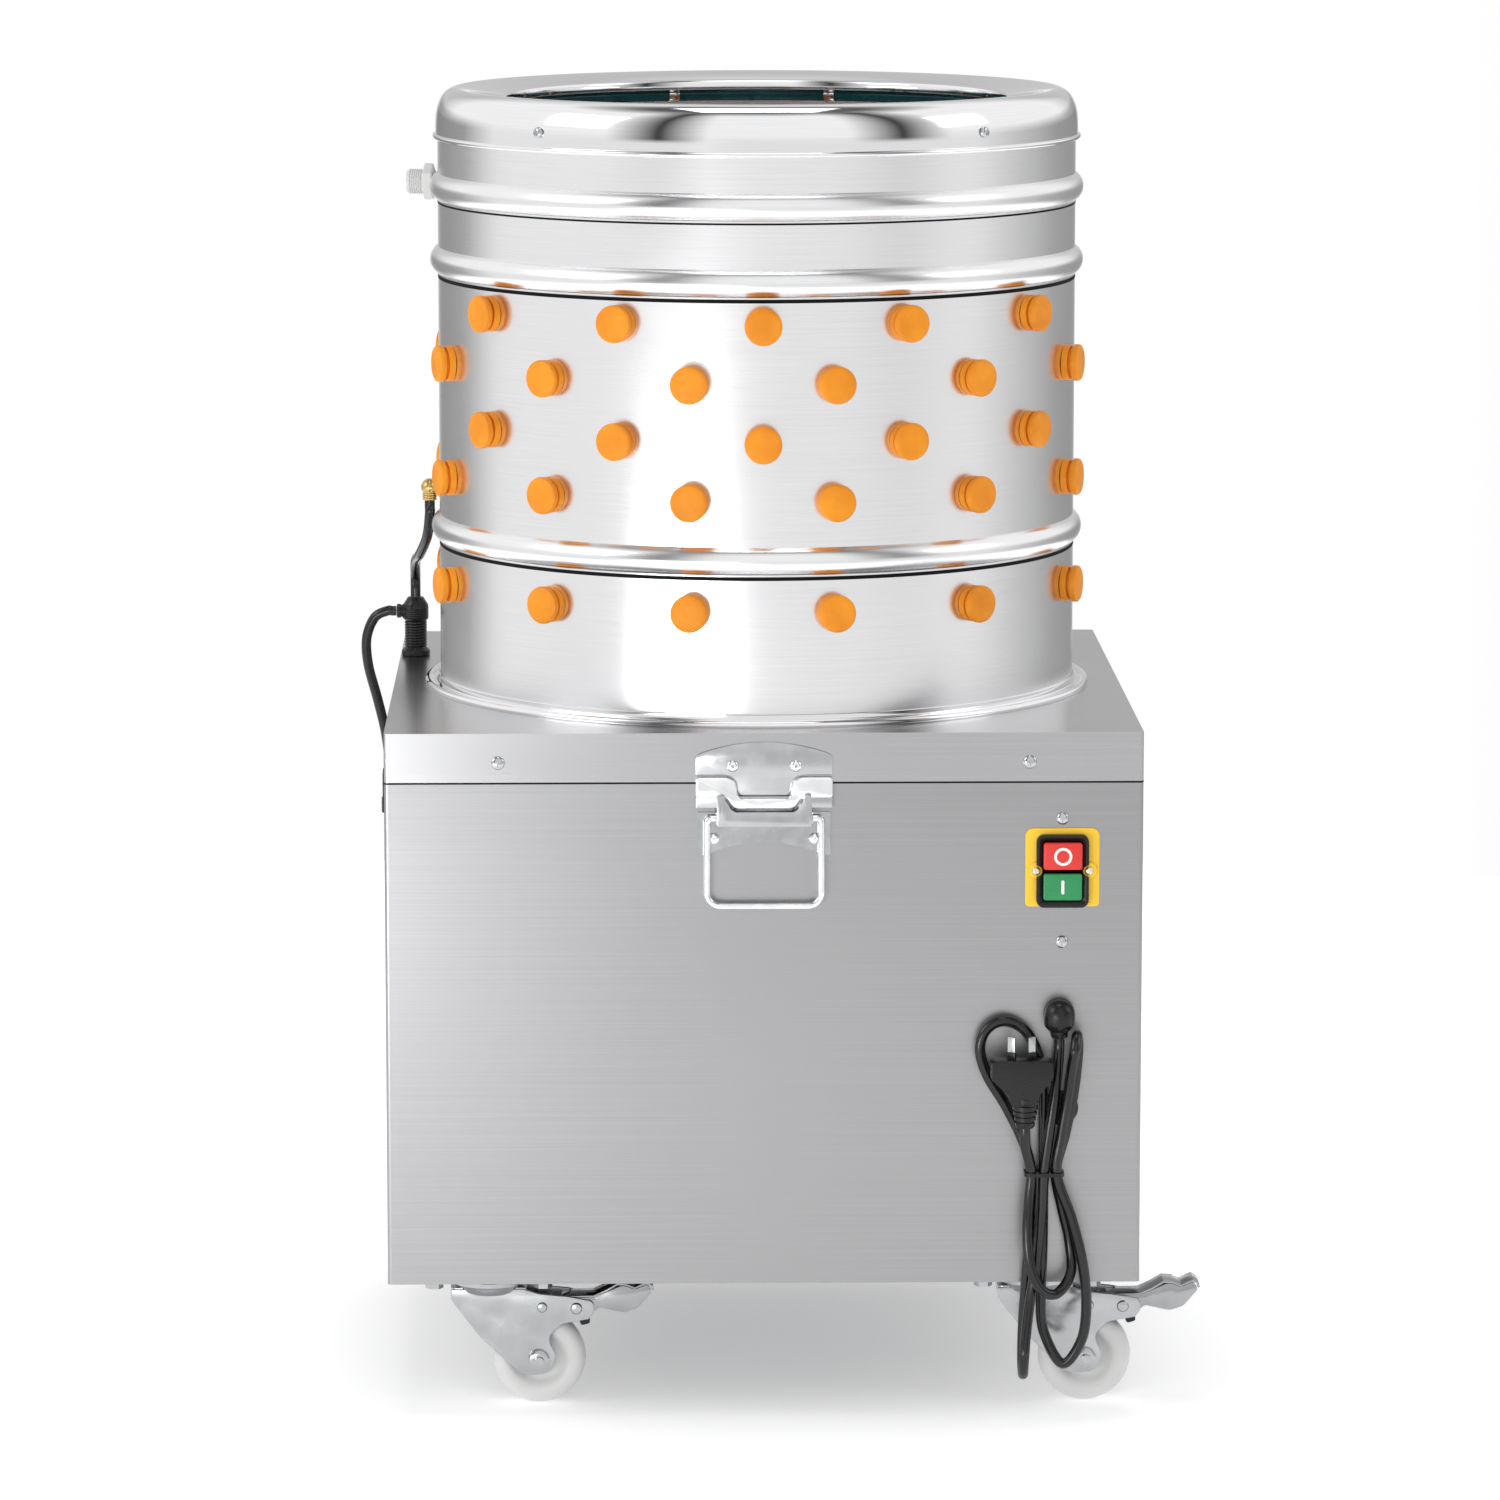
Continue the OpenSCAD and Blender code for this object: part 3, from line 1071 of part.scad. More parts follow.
// Mains lead
module power_cord() color("black") {
  part_tube(lead_route, 0, hank_first, cord_d, cord_sides);
  part_tube(lead_route, hank_last, len(lead_route) - 1, cord_d, cord_sides);
}
module cord_hank() color("black") part_tube(lead_route, hank_first, hank_last, cord_d, hank_sides);
module cord_tie() color("black") translate([222, -314.25, waist_z - 1.5]) linear_extrude(3) difference() {
  plate_2d(32, 21.2, 5.6);
  plate_2d(29.6, 18.8, 4.4);
}
module mains_plug() color("black") translate(plug_at) {
  cylinder(r1 = 6.4, r2 = 9, h = 20);
  for (k = [0 : 2]) translate([0, 0, 2 + 5 * k]) cylinder(r = 8.4 + 0.6 * k, h = 2.5);
  translate([-3, 0, 0]) rotate([90, 0, 0]) translate([0, 0, -9]) linear_extrude(18)
    polygon([[-7, 18], [-11, 28], [-22, 36], [-24, 40], [-24, 54], [24, 54], [24, 40], [20, 34],
      [14, 26], [12, 18]]);
  for (s = [-1, 1]) translate([-3 + s * 8, 0, 54]) rotate([0, 0, s * 30])
    translate([-3.2, -0.8, 0]) cube([6.4, 1.6, 19]);
}

cabinet_shell();
rear_panel();
base_frame();
caster_plates();
caster_bolts();
feather_tray();
bearing_beams();
shaft_bearings();
motor_body();
motor_bracket();
drive_belt();
switch_plate();
switch_frame();
switch_box();
front_fasteners();
cord_gland();
reset_collar();
latch_base();
rear_hinges();
top_cover();
upper_fasteners();
foot_ring();
drum();
rim_ring();
wall_fingers();
spray_hose();
spray_clips();
water_inlet();
keeper_plate();
cover_hinges();
hose_fitting();
hose_couplings();
turntable();
plate_fingers();
turntable_hub();
main_shaft();
driven_pulley();
motor_shaft();
motor_pulley();
latch_lever();
latch_bail();
stop_button();
start_button();
reset_button();
front_left_fork();
front_right_fork();
rear_left_fork();
rear_right_fork();
front_left_wheel();
front_right_wheel();
rear_left_wheel();
rear_right_wheel();
front_left_pedal();
front_right_pedal();
power_cord();
cord_hank();
cord_tie();
mains_plug();
water_hose();
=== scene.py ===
"""Dresses a drum poultry plucker's solids with finishes and finer pieces, in metres, in their own frame."""

import math

import bpy
from mathutils import Matrix, Vector


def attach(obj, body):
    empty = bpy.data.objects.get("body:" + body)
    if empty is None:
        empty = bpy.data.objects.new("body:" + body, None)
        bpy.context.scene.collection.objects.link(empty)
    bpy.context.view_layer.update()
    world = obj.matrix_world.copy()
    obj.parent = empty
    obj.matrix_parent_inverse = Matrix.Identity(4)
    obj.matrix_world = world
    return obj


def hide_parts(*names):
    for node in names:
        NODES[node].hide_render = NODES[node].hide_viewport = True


bl_info = {
    "name": "Drum poultry plucker",
    "version": (1, 0, 0),
    "blender": (4, 5, 0),
    "location": "3D View > Sidebar > Plucker",
    "description": "Models the visible pieces and finishes of a drum poultry plucker",
    "category": "Object",
}

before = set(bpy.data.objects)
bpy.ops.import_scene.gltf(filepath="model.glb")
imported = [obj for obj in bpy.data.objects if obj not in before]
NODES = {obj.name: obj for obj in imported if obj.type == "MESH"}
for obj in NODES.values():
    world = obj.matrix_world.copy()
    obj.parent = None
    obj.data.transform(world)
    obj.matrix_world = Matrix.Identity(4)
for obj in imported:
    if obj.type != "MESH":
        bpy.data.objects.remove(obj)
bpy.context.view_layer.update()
MM = 0.001


# Sizes and colours that a user would change

def length(name, about, default):
    return bpy.props.FloatProperty(name=name, description=about, default=default, unit="LENGTH", precision=5)


def colour(name, about, default):
    return bpy.props.FloatVectorProperty(name=name, description=about, default=default, subtype="COLOR",
                                         size=3, min=0, max=1)


class PluckerSizes(bpy.types.PropertyGroup):
    cord_d: length("Mains cord", "Diameter of the mains cord", 8.5 * MM)
    hose_d: length("Water hose", "Diameter of the black water hose", 8.5 * MM)
    finger_head_d: length("Finger head", "Diameter of a rubber finger's head", 30 * MM)
    brush_pitch: length("Brush pitch", "Width of the sheet's brushed lines", 0.5 * MM)


class PluckerColours(bpy.types.PropertyGroup):
    steel: colour("Steel", "Brushed stainless sheet", (0.50, 0.50, 0.51))
    bright: colour("Bright steel", "Polished drum and rim", (0.86, 0.86, 0.87))
    zinc: colour("Zinc", "Plated pressings", (0.47, 0.48, 0.49))
    rubber: colour("Finger rubber", "Orange finger rubber", (0.86, 0.27, 0.006))
    black: colour("Black", "Cord, plug and mouldings", (0.006, 0.006, 0.0065))
    yellow: colour("Yellow", "Switch plate", (0.98, 0.60, 0.035))
    red: colour("Red", "Stop button", (0.72, 0.04, 0.03))
    green: colour("Green", "Start button", (0.025, 0.27, 0.09))
    teal: colour("Teal", "Spray hose", (0.01, 0.12, 0.14))
    nylon: colour("Nylon", "White wheels and inlet", (0.64, 0.64, 0.635))
    brass: colour("Brass", "Hose fitting", (0.60, 0.42, 0.16))
    paint: colour("Frame paint", "Grey paint inside the cabinet", (0.05, 0.053, 0.057))
    motor: colour("Motor paint", "Blue grey motor paint", (0.07, 0.10, 0.15))


def sizes():
    return bpy.context.scene.plucker_sizes


def colours():
    return bpy.context.scene.plucker_colours


# Materials

class Nodes:
    """A node tree, with short ways to add to it."""

    def __init__(self, tree):
        self.tree = tree

    def node(self, kind, **inputs):
        made = self.tree.nodes.new(kind)
        for socket, value in inputs.items():
            made.inputs[socket.replace("_", " ")].default_value = value
        return made

    def join(self, out, into):
        self.tree.links.new(out, into)

    def calc(self, kind, *values):
        """A Math node's result; each value is a number or another node's output."""
        made = self.node("ShaderNodeMath")
        made.operation = kind
        for socket, value in zip(made.inputs, values):
            if isinstance(value, (int, float)):
                socket.default_value = value
            else:
                self.join(value, socket)
        return made.outputs[0]

    def ramp(self, out, stops):
        made = self.node("ShaderNodeValToRGB")
        ramp = made.color_ramp
        while len(ramp.elements) < len(stops):
            ramp.elements.new(1)
        for element, (place, value) in zip(ramp.elements, stops):
            element.position = place
            element.color = (*value, 1)
        self.join(out, made.inputs["Fac"])
        return made.outputs["Color"]


class Finish(Nodes):
    """One procedural material on Object coordinates."""

    def __init__(self, name):
        self.material = bpy.data.materials.new(name)
        self.material.use_nodes = True
        super().__init__(self.material.node_tree)
        self.shader = self.tree.nodes["Principled BSDF"]
        self.coordinates = self.node("ShaderNodeTexCoord").outputs
        self.place = self.coordinates["Object"]

    def set(self, **values):
        for socket, value in values.items():
            self.shader.inputs[socket.replace("_", " ")].default_value = value
        return self

    def mapped(self, scale):
        made = self.node("ShaderNodeMapping", Scale=scale)
        self.join(self.place, made.inputs["Vector"])
        return made.outputs["Vector"]

    def noise(self, scale, detail=3, where=None, rough=0.5):
        made = self.node("ShaderNodeTexNoise", Scale=scale, Detail=detail, Roughness=rough)
        self.join(where or self.place, made.inputs["Vector"])
        return made.outputs["Fac"]

    def tint(self, out, low, high, start=0.3, end=0.7):
        """Base colour between two colours by a pattern."""
        self.join(self.ramp(out, [(start, low), (end, high)]), self.shader.inputs["Base Color"])
        return self

    def rough(self, out, low, high, start=0.3, end=0.7):
        made = self.node("ShaderNodeMapRange", From_Min=start, From_Max=end, To_Min=low, To_Max=high)
        self.join(out, made.inputs["Value"])
        self.join(made.outputs["Result"], self.shader.inputs["Roughness"])
        return self

    def bump(self, out, height, strength=1.0):
        made = self.node("ShaderNodeBump", Distance=height, Strength=strength)
        self.join(out, made.inputs["Height"])
        last = self.shader.inputs["Normal"]
        if last.is_linked:
            self.join(last.links[0].from_socket, made.inputs["Normal"])
        self.join(made.outputs["Normal"], last)
        return self


def shade(rgb, factor):
    return tuple(max(0.0, min(1.0, c * factor)) for c in rgb)


def brushed_steel(name, rgb, low, high):
    """Sheet with fine level lines, in tone and relief, and changes of gloss from handling."""
    finish = Finish(name).set(Metallic=1.0)
    fine, along, side_facing = 1 / sizes().brush_pitch, 2.5, 0.7
    normal = finish.node("ShaderNodeSeparateXYZ")
    finish.join(finish.coordinates["Normal"], normal.inputs["Vector"])
    on_side = finish.calc("GREATER_THAN", finish.calc("ABSOLUTE", normal.outputs["X"]), side_facing)
    # The Mix node's factor is its input 0, and its two vectors are 4 and 5
    run = finish.node("ShaderNodeMix")
    run.data_type = "VECTOR"
    finish.join(on_side, run.inputs[0])
    finish.join(finish.mapped((along, fine, fine)), run.inputs[4])
    finish.join(finish.mapped((fine, along, fine)), run.inputs[5])
    lines = finish.noise(1.0, 2, run.outputs[1], 0.7)
    finish.tint(lines, shade(rgb, 0.94), shade(rgb, 1.06))
    finish.rough(finish.noise(3.2), low, high)
    finish.bump(lines, 0.02 * MM, 0.35)
    return finish.material


def polished_steel(name, rgb, low, high):
    """Bright sheet with faint smudges and hairline scratches round the drum."""
    finish = Finish(name).set(Metallic=1.0)
    smudge = finish.noise(7.0, 5)
    scratch = finish.noise(1.0, 2, finish.mapped((14, 14, 1500)), 0.6)
    finish.tint(scratch, shade(rgb, 0.97), shade(rgb, 1.02))
    finish.rough(smudge, low, high)
    finish.bump(scratch, 0.008 * MM, 0.25)
    return finish.material


def plated(name, rgb, low=0.16, high=0.3):
    """Zinc or nickel plate on a pressing: cloudy gloss and a slightly uneven skin."""
    finish = Finish(name).set(Metallic=1.0)
    cloud = finish.noise(60, 4)
    skin = finish.noise(420, 2)
    finish.tint(cloud, shade(rgb, 0.9), shade(rgb, 1.06))
    finish.rough(cloud, low, high)
    finish.bump(skin, 0.03 * MM, 0.25)
    return finish.material


def moulded(name, rgb, low, high, grain=0.02, spread=0.12, grain_scale=900, gloss=0.4):
    """Moulded plastic or rubber: fine grain, and colour that varies a little."""
    finish = Finish(name).set(Specular_IOR_Level=gloss)
    cloud = finish.noise(45, 3)
    skin = finish.noise(grain_scale, 2)
    finish.tint(cloud, shade(rgb, 1 - spread), shade(rgb, 1 + spread))
    finish.rough(skin, low, high)
    finish.bump(skin, grain * MM, 0.5)
    return finish.material


def finger_rubber():
    """Soft orange rubber: a dull bloom in patches over a clear colour."""
    rgb = colours().rubber
    finish = Finish("finger_rubber").set(Specular_IOR_Level=0.35)
    cloud = finish.noise(38, 4)
    skin = finish.noise(700, 2)
    finish.tint(cloud, shade(rgb, 0.86), (min(1, rgb[0] * 1.05), rgb[1] * 1.18, rgb[2] * 1.6))
    finish.rough(skin, 0.42, 0.6)
    finish.bump(skin, 0.04 * MM, 0.4)
    return finish.material


def worn_paint(name, rgb):
    """Sprayed paint with a slight orange peel and rubbed places."""
    finish = Finish(name)
    cloud = finish.noise(14, 5)
    peel = finish.noise(260, 2)
    finish.tint(cloud, shade(rgb, 0.8), shade(rgb, 1.15))
    finish.rough(cloud, 0.32, 0.55)
    finish.bump(peel, 0.06 * MM, 0.35)
    return finish.material


FINISHES = {}


def make_finishes():
    c = colours()
    FINISHES.update(
        sheet=brushed_steel("brushed_sheet", shade(c.steel, 0.74), 0.29, 0.37),
        top=brushed_steel("brushed_cover", shade(c.steel, 1.0), 0.19, 0.26),
        bright=polished_steel("bright_drum", c.bright, 0.2, 0.27),
        rim=polished_steel("bright_rim", c.bright, 0.05, 0.09),
        latch=plated("nickel_latch", shade(c.zinc, 1.08), 0.12, 0.22),
        zinc=plated("zinc_pressing", c.zinc),
        pedal=plated("pedal_zinc", shade(c.zinc, 0.8), 0.08, 0.18),
        # Bright wire for the bail, rivets and clips; on the latch's claw the same light tone is a painted highlight
        wire=plated("bright_wire_and_painted_highlight", shade(c.zinc, 2.0), 0.08, 0.15),
        rubber=finger_rubber(),
        black=moulded("black_moulding", c.black, 0.24, 0.36, 0.02, 0.2),
        cord=moulded("cord_sheath", c.black, 0.16, 0.26, 0.015, 0.2, 500, 0.5),
        yellow=moulded("yellow_plate", c.yellow, 0.3, 0.4, 0.01, 0.04),
        red=moulded("red_button", c.red, 0.25, 0.35, 0.01, 0.05),
        green=moulded("green_button", c.green, 0.25, 0.35, 0.01, 0.06),
        # Matte near-black for painted shade: the dark rings under the beads and the dark strip under the cover
        joint=moulded("painted_shade_line", c.black, 0.6, 0.75, 0.02, 0.2, 900, 0.1),
        teal=moulded("teal_hose", c.teal, 0.14, 0.24, 0.02, 0.2),
        nylon=moulded("white_nylon", c.nylon, 0.28, 0.4, 0.015, 0.03, 400),
        screw=plated("bright_screw", shade(c.zinc, 1.2), 0.1, 0.18),
        cream=plated("passivated_screw", (0.80, 0.76, 0.62), 0.25, 0.35),
        sign=moulded("sign_white", (0.86, 0.86, 0.85), 0.4, 0.5, 0.01, 0.02),
        brass=plated("brass_fitting", c.brass, 0.2, 0.35),
        paint=worn_paint("frame_paint", c.paint),
        motor=worn_paint("motor_paint", c.motor),
    )


NODE_FINISH = {
    "sheet": ["cabinet_shell", "rear_panel", "feather_tray", "rear_hinges", "cover_hinges"],
    "top": ["top_cover", "foot_ring", "turntable", "turntable_hub", "main_shaft", "motor_shaft"],
    "bright": ["drum", "spray_clips"],
    "rim": ["rim_ring"],
    "latch": ["keeper_plate", "latch_base", "latch_lever", "front_fasteners", "upper_fasteners"],
    "wire": ["latch_bail"],
    "zinc": ["caster_plates", "caster_bolts", "front_left_fork", "front_right_fork", "rear_left_fork",
             "rear_right_fork", "front_left_pedal", "front_right_pedal"],
    "rubber": ["wall_fingers", "plate_fingers"],
    "black": ["switch_frame", "switch_box", "cord_gland", "reset_collar", "reset_button", "cord_tie", "mains_plug",
              "hose_couplings", "drive_belt"],
    "cord": ["power_cord", "cord_hank", "water_hose"],
    "yellow": ["switch_plate"],
    "red": ["stop_button"],
    "green": ["start_button"],
    "teal": ["spray_hose"],
    "nylon": ["front_left_wheel", "front_right_wheel", "rear_left_wheel", "rear_right_wheel", "water_inlet"],
    "brass": ["hose_fitting"],
    "paint": ["base_frame", "bearing_beams", "motor_bracket"],
    "motor": ["motor_body", "shaft_bearings", "driven_pulley", "motor_pulley"],
}


# Routes of the cords, as in the solids, in millimetres

WAIST_Z = 202
LEAD_ROUTE = [
    (234, -311, 310.6), (234, -311, 302), (233, -313.5, 290), (231, -316.5, 272), (228, -318.5, 250),
    (224.5, -319, 225), (222, -319, WAIST_Z), (220, -318.5, 165), (216, -319, 128), (211, -323, 98),
    (207.5, -331, 72), (206, -334, 54), (206, -323, 40), (206, -311.5, 52),
    (206.5, -309, 75), (208, -309, 102), (210, -309.5, 132), (211.5, -309.5, 166),
    (212, -309.5, WAIST_Z), (206, -309.5, 226), (192, -309.5, 255), (177, -309.5, 280),
    (171, -309.5, 301), (176, -309.5, 317), (190, -309.5, 324), (206, -309.5, 317),
    (217, -309.5, 298), (221, -309.5, 272), (222, -309.5, 238), (222, -309.5, WAIST_Z),
    (222, -309.5, 166), (221.5, -309.5, 132), (220.5, -309, 102), (223, -309.5, 72),
    (238, -312, 46), (253, -315, 66), (256.5, -317.5, 96), (253, -319, 130),
    (244, -319, 166), (232, -319, WAIST_Z), (236, -319, 235), (240.5, -320, 264),
    (243.5, -324.5, 290), (245.5, -328, 304), (247.5, -319, 314), (249, -310.5, 304),
    (248, -309.5, 286), (245, -309.5, 262), (239, -309.5, 232), (232, -309.5, WAIST_Z),
    (237, -309.5, 173), (243, -310, 146), (244, -316, 121), (232, -325, 106),
    (218.5, -330, 112), (210.5, -330, 132), (208.5, -326, 158), (210, -321, 182),
    (212, -319, WAIST_Z), (210, -321, 213), (207, -326.5, 224), (206, -330, 234), (206, -330, 241.6)]
PLUG_AT = (206, -330, 242)
HOSE_TOP = [(-271.33, 38.13, 699.6), (-271.33, 38.13, 694.6), (-271.33, 38.13, 688), (-274, 52, 668),
            (-281, 86, 649), (-286, 128, 638), (-287, 150, 622), (-287, 150, 612), (-287, 150, 604.4)]
HOSE_LOOP = [(-303.4, 150, 592), (-306.8, 150, 592), (-311, 150, 592), (-322, 152, 586), (-329, 156, 568),
             (-328, 161, 544), (-321, 168, 515), (-315, 174, 488), (-312, 178, 466), (-312, 178, 459),
             (-312, 178, 452.4)]


def smooth_route(points, steps):
    """Points of a smooth curve through a route, in metres."""
    rough = [Vector(p) * MM for p in points]

    def at(i):
        return rough[max(0, min(len(rough) - 1, i))]

    line = []
    for i in range(len(rough) - 1):
        a, b, c, d = at(i - 1), at(i), at(i + 1), at(i + 2)
        for k in range(steps):
            t = k / steps
            line.append(0.5 * (2 * b + (c - a) * t + (2 * a - 5 * b + 4 * c - d) * t * t
                               + (3 * b - a - 3 * c + d) * t * t * t))
    return line + [rough[-1]]


def cord_piece(name, points, diameter):
    """A round cord as a curve of one open spline."""
    line = smooth_route(points, 8)
    curve = bpy.data.curves.new(name, "CURVE")
    curve.dimensions = "3D"
    curve.bevel_depth = diameter / 2
    curve.bevel_resolution = 4
    curve.use_fill_caps = True
    spline = curve.splines.new("POLY")
    spline.points.add(len(line) - 1)
    for point, place in zip(spline.points, line):
        point.co = (*place, 1)
        point.radius = 1
    spline.use_smooth = True
    piece = bpy.data.objects.new(name, curve)
    bpy.context.scene.collection.objects.link(piece)
    curve.materials.append(FINISHES["cord"])
    return piece, line


# Modelling helpers, and turns of a piece's own Z

TO_FRONT, TO_REAR = (Matrix.Rotation(s * math.pi / 2, 3, "X") for s in (1, -1))
TO_RIGHT, TO_LEFT = (Matrix.Rotation(s * math.pi / 2, 3, "Y") for s in (1, -1))


def deselect():
    if bpy.context.object and bpy.context.object.mode != "OBJECT":
        bpy.ops.object.mode_set(mode="OBJECT")
    bpy.ops.object.select_all(action="DESELECT")


def only(piece):
    """Selects one piece alone and makes it active."""
    deselect()
    piece.select_set(True)
    bpy.context.view_layer.objects.active = piece


def settled(piece):
    """Puts a piece's place, turn and scale into its mesh."""
    only(piece)
    bpy.ops.object.transform_apply(location=True, rotation=True, scale=True)
    return piece


def edit(piece, mode="VERT"):
    only(piece)
    bpy.ops.object.mode_set(mode="EDIT")
    bpy.ops.mesh.select_mode(type=mode)
    bpy.ops.mesh.select_all(action="SELECT")


def close_up(piece, gap=0.004 * MM):
    """Merges doubles and turns the faces outwards."""
    edit(piece)
    bpy.ops.mesh.remove_doubles(threshold=gap)
    bpy.ops.mesh.normals_make_consistent(inside=False)
    bpy.ops.object.mode_set(mode="OBJECT")
    return piece


def modify(piece, kind, **settings):
    """Adds a modifier and applies it."""
    only(piece)
    made = piece.modifiers.new(kind.lower(), kind)
    for name, value in settings.items():
        setattr(made, name, value)
    bpy.ops.object.modifier_apply(modifier=made.name)
    return piece


def round_edges(piece, width, segments=3, angle=30):
    return modify(piece, "BEVEL", width=width * MM, segments=segments, limit_method="ANGLE",
                  angle_limit=math.radians(angle), use_clamp_overlap=True)


def cut(piece, cutter, place=(0, 0, 0), turn=None):
    """Takes a cutter's shape out of a piece; the cutter is used up."""
    moved(cutter, place, turn)
    modify(piece, "BOOLEAN", object=cutter, operation="DIFFERENCE", solver="EXACT")
    bpy.data.objects.remove(cutter)
    return piece


def drawn_line(points):
    """A chain of edges through points in millimetres, drawn by extruding one vertex."""
    deselect()
    bpy.ops.mesh.primitive_plane_add(size=MM)
    piece = bpy.context.object
    edit(piece)
    bpy.ops.mesh.merge(type="CENTER")
    here = Vector((0, 0, 0))
    for k, point in enumerate(points):
        there = Vector(point) * MM
        if k == 0:
            bpy.ops.transform.translate(value=there - here)
        else:
            bpy.ops.mesh.extrude_region_move(TRANSFORM_OT_translate={"value": there - here})
        here = there
    return piece


def turned(profile, segments=48):
    """A turned piece about Z from its half section, radius and height in millimetres."""
    piece = drawn_line([(r, 0, z) for r, z in profile])
    bpy.ops.mesh.select_all(action="SELECT")
    bpy.ops.mesh.spin(steps=segments, angle=2 * math.pi, center=(0, 0, 0), axis=(0, 0, 1))
    bpy.ops.object.mode_set(mode="OBJECT")
    return close_up(piece)


def plate(outline, thick, edge=0.0, segments=3):
    """A plate upright in X and Z from its outline in millimetres, thick towards the front."""
    deselect()
    bpy.ops.mesh.primitive_circle_add(vertices=len(outline), radius=MM, fill_type="NGON")
    piece = bpy.context.object
    for vertex, (x, z) in zip(piece.data.vertices, outline):
        vertex.co = (x * MM, 0, z * MM)
    edit(piece, "FACE")
    bpy.ops.mesh.extrude_region_move(TRANSFORM_OT_translate={"value": (0, -thick * MM, 0)})
    bpy.ops.object.mode_set(mode="OBJECT")
    close_up(piece)
    return round_edges(piece, edge, segments) if edge else piece


def arc(x, z, r, start, end, steps=8):
    return [(x + r * math.cos(math.radians(start + (end - start) * k / steps)),
             z + r * math.sin(math.radians(start + (end - start) * k / steps))) for k in range(steps + 1)]


def rounded(corners, steps=5):
    """An outline whose corners (x, z, radius) are rounded."""
    outline = []
    for k, (x, z, r) in enumerate(corners):
        here = Vector((x, z))
        before = (Vector(corners[k - 1][:2]) - here)
        after = (Vector(corners[(k + 1) % len(corners)][:2]) - here)
        if r <= 0 or before.length < 1e-9 or after.length < 1e-9:
            outline.append((x, z))
            continue
        before.normalize()
        after.normalize()
        half = before.angle(after) / 2
        reach = r / math.tan(half)
        centre = here + (before + after).normalized() * (r / math.sin(half))
        first, last = here + before * reach - centre, here + after * reach - centre
        turn = first.angle_signed(last)
        for i in range(steps + 1):
            a = -turn * i / steps
            outline.append(tuple(centre + Matrix.Rotation(a, 2) @ first))
    return outline


def rect(half, low, high, r=0.0, top_r=None, steps=5):
    """A rectangle's outline about x 0, with rounded corners, those at the top with their own radius."""
    top_r = r if top_r is None else top_r
    return rounded([(-half, low, r), (half, low, r), (half, high, top_r), (-half, high, top_r)], steps)


def mirrored(right):
    """A closed outline from its right half, listed from the top down."""
    return list(right) + [(-x, z, *rest) for x, z, *rest in reversed(right) if x > 1e-6]


def shifted(x, y, z):
    """A shift in millimetres."""
    return Matrix.Translation(Vector((x, y, z)) * MM)


def spun(degrees):
    """A turn about Z."""
    return Matrix.Rotation(math.radians(degrees), 4, "Z")


def moved(piece, place=(0, 0, 0), turn=None):
    """Puts a piece at a place in millimetres and applies it."""
    matrix = shifted(*place)
    piece.matrix_world = matrix @ turn.to_4x4() if turn else matrix
    settled(piece)
    return piece


def joined(pieces):
    deselect()
    for piece in pieces:
        piece.select_set(True)
    bpy.context.view_layer.objects.active = pieces[0]
    if len(pieces) > 1:
        bpy.ops.object.join()
    return bpy.context.object


def copied(piece, matrices):
    """Copies of a piece, each with its own mesh, joined into one; the first is used up."""
    made = []
    for matrix in matrices:
        only(piece)
        bpy.ops.object.duplicate(linked=False)
        copy = bpy.context.object
        copy.matrix_world = matrix
        made.append(copy)
    bpy.data.objects.remove(piece)
    return joined(made)


def finished(piece, name, finish, body, slot, *replaced, smooth=35):
    """Names a piece, smooths it, gives it its finish and makes it ride."""
    settled(piece)
    piece.name = name
    piece.data.name = name
    bpy.ops.object.shade_smooth_by_angle(angle=math.radians(smooth))
    piece.data.materials.clear()
    piece.data.materials.append(FINISHES[finish])
    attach(piece, body)
    if replaced:
        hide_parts(*replaced)
    return piece


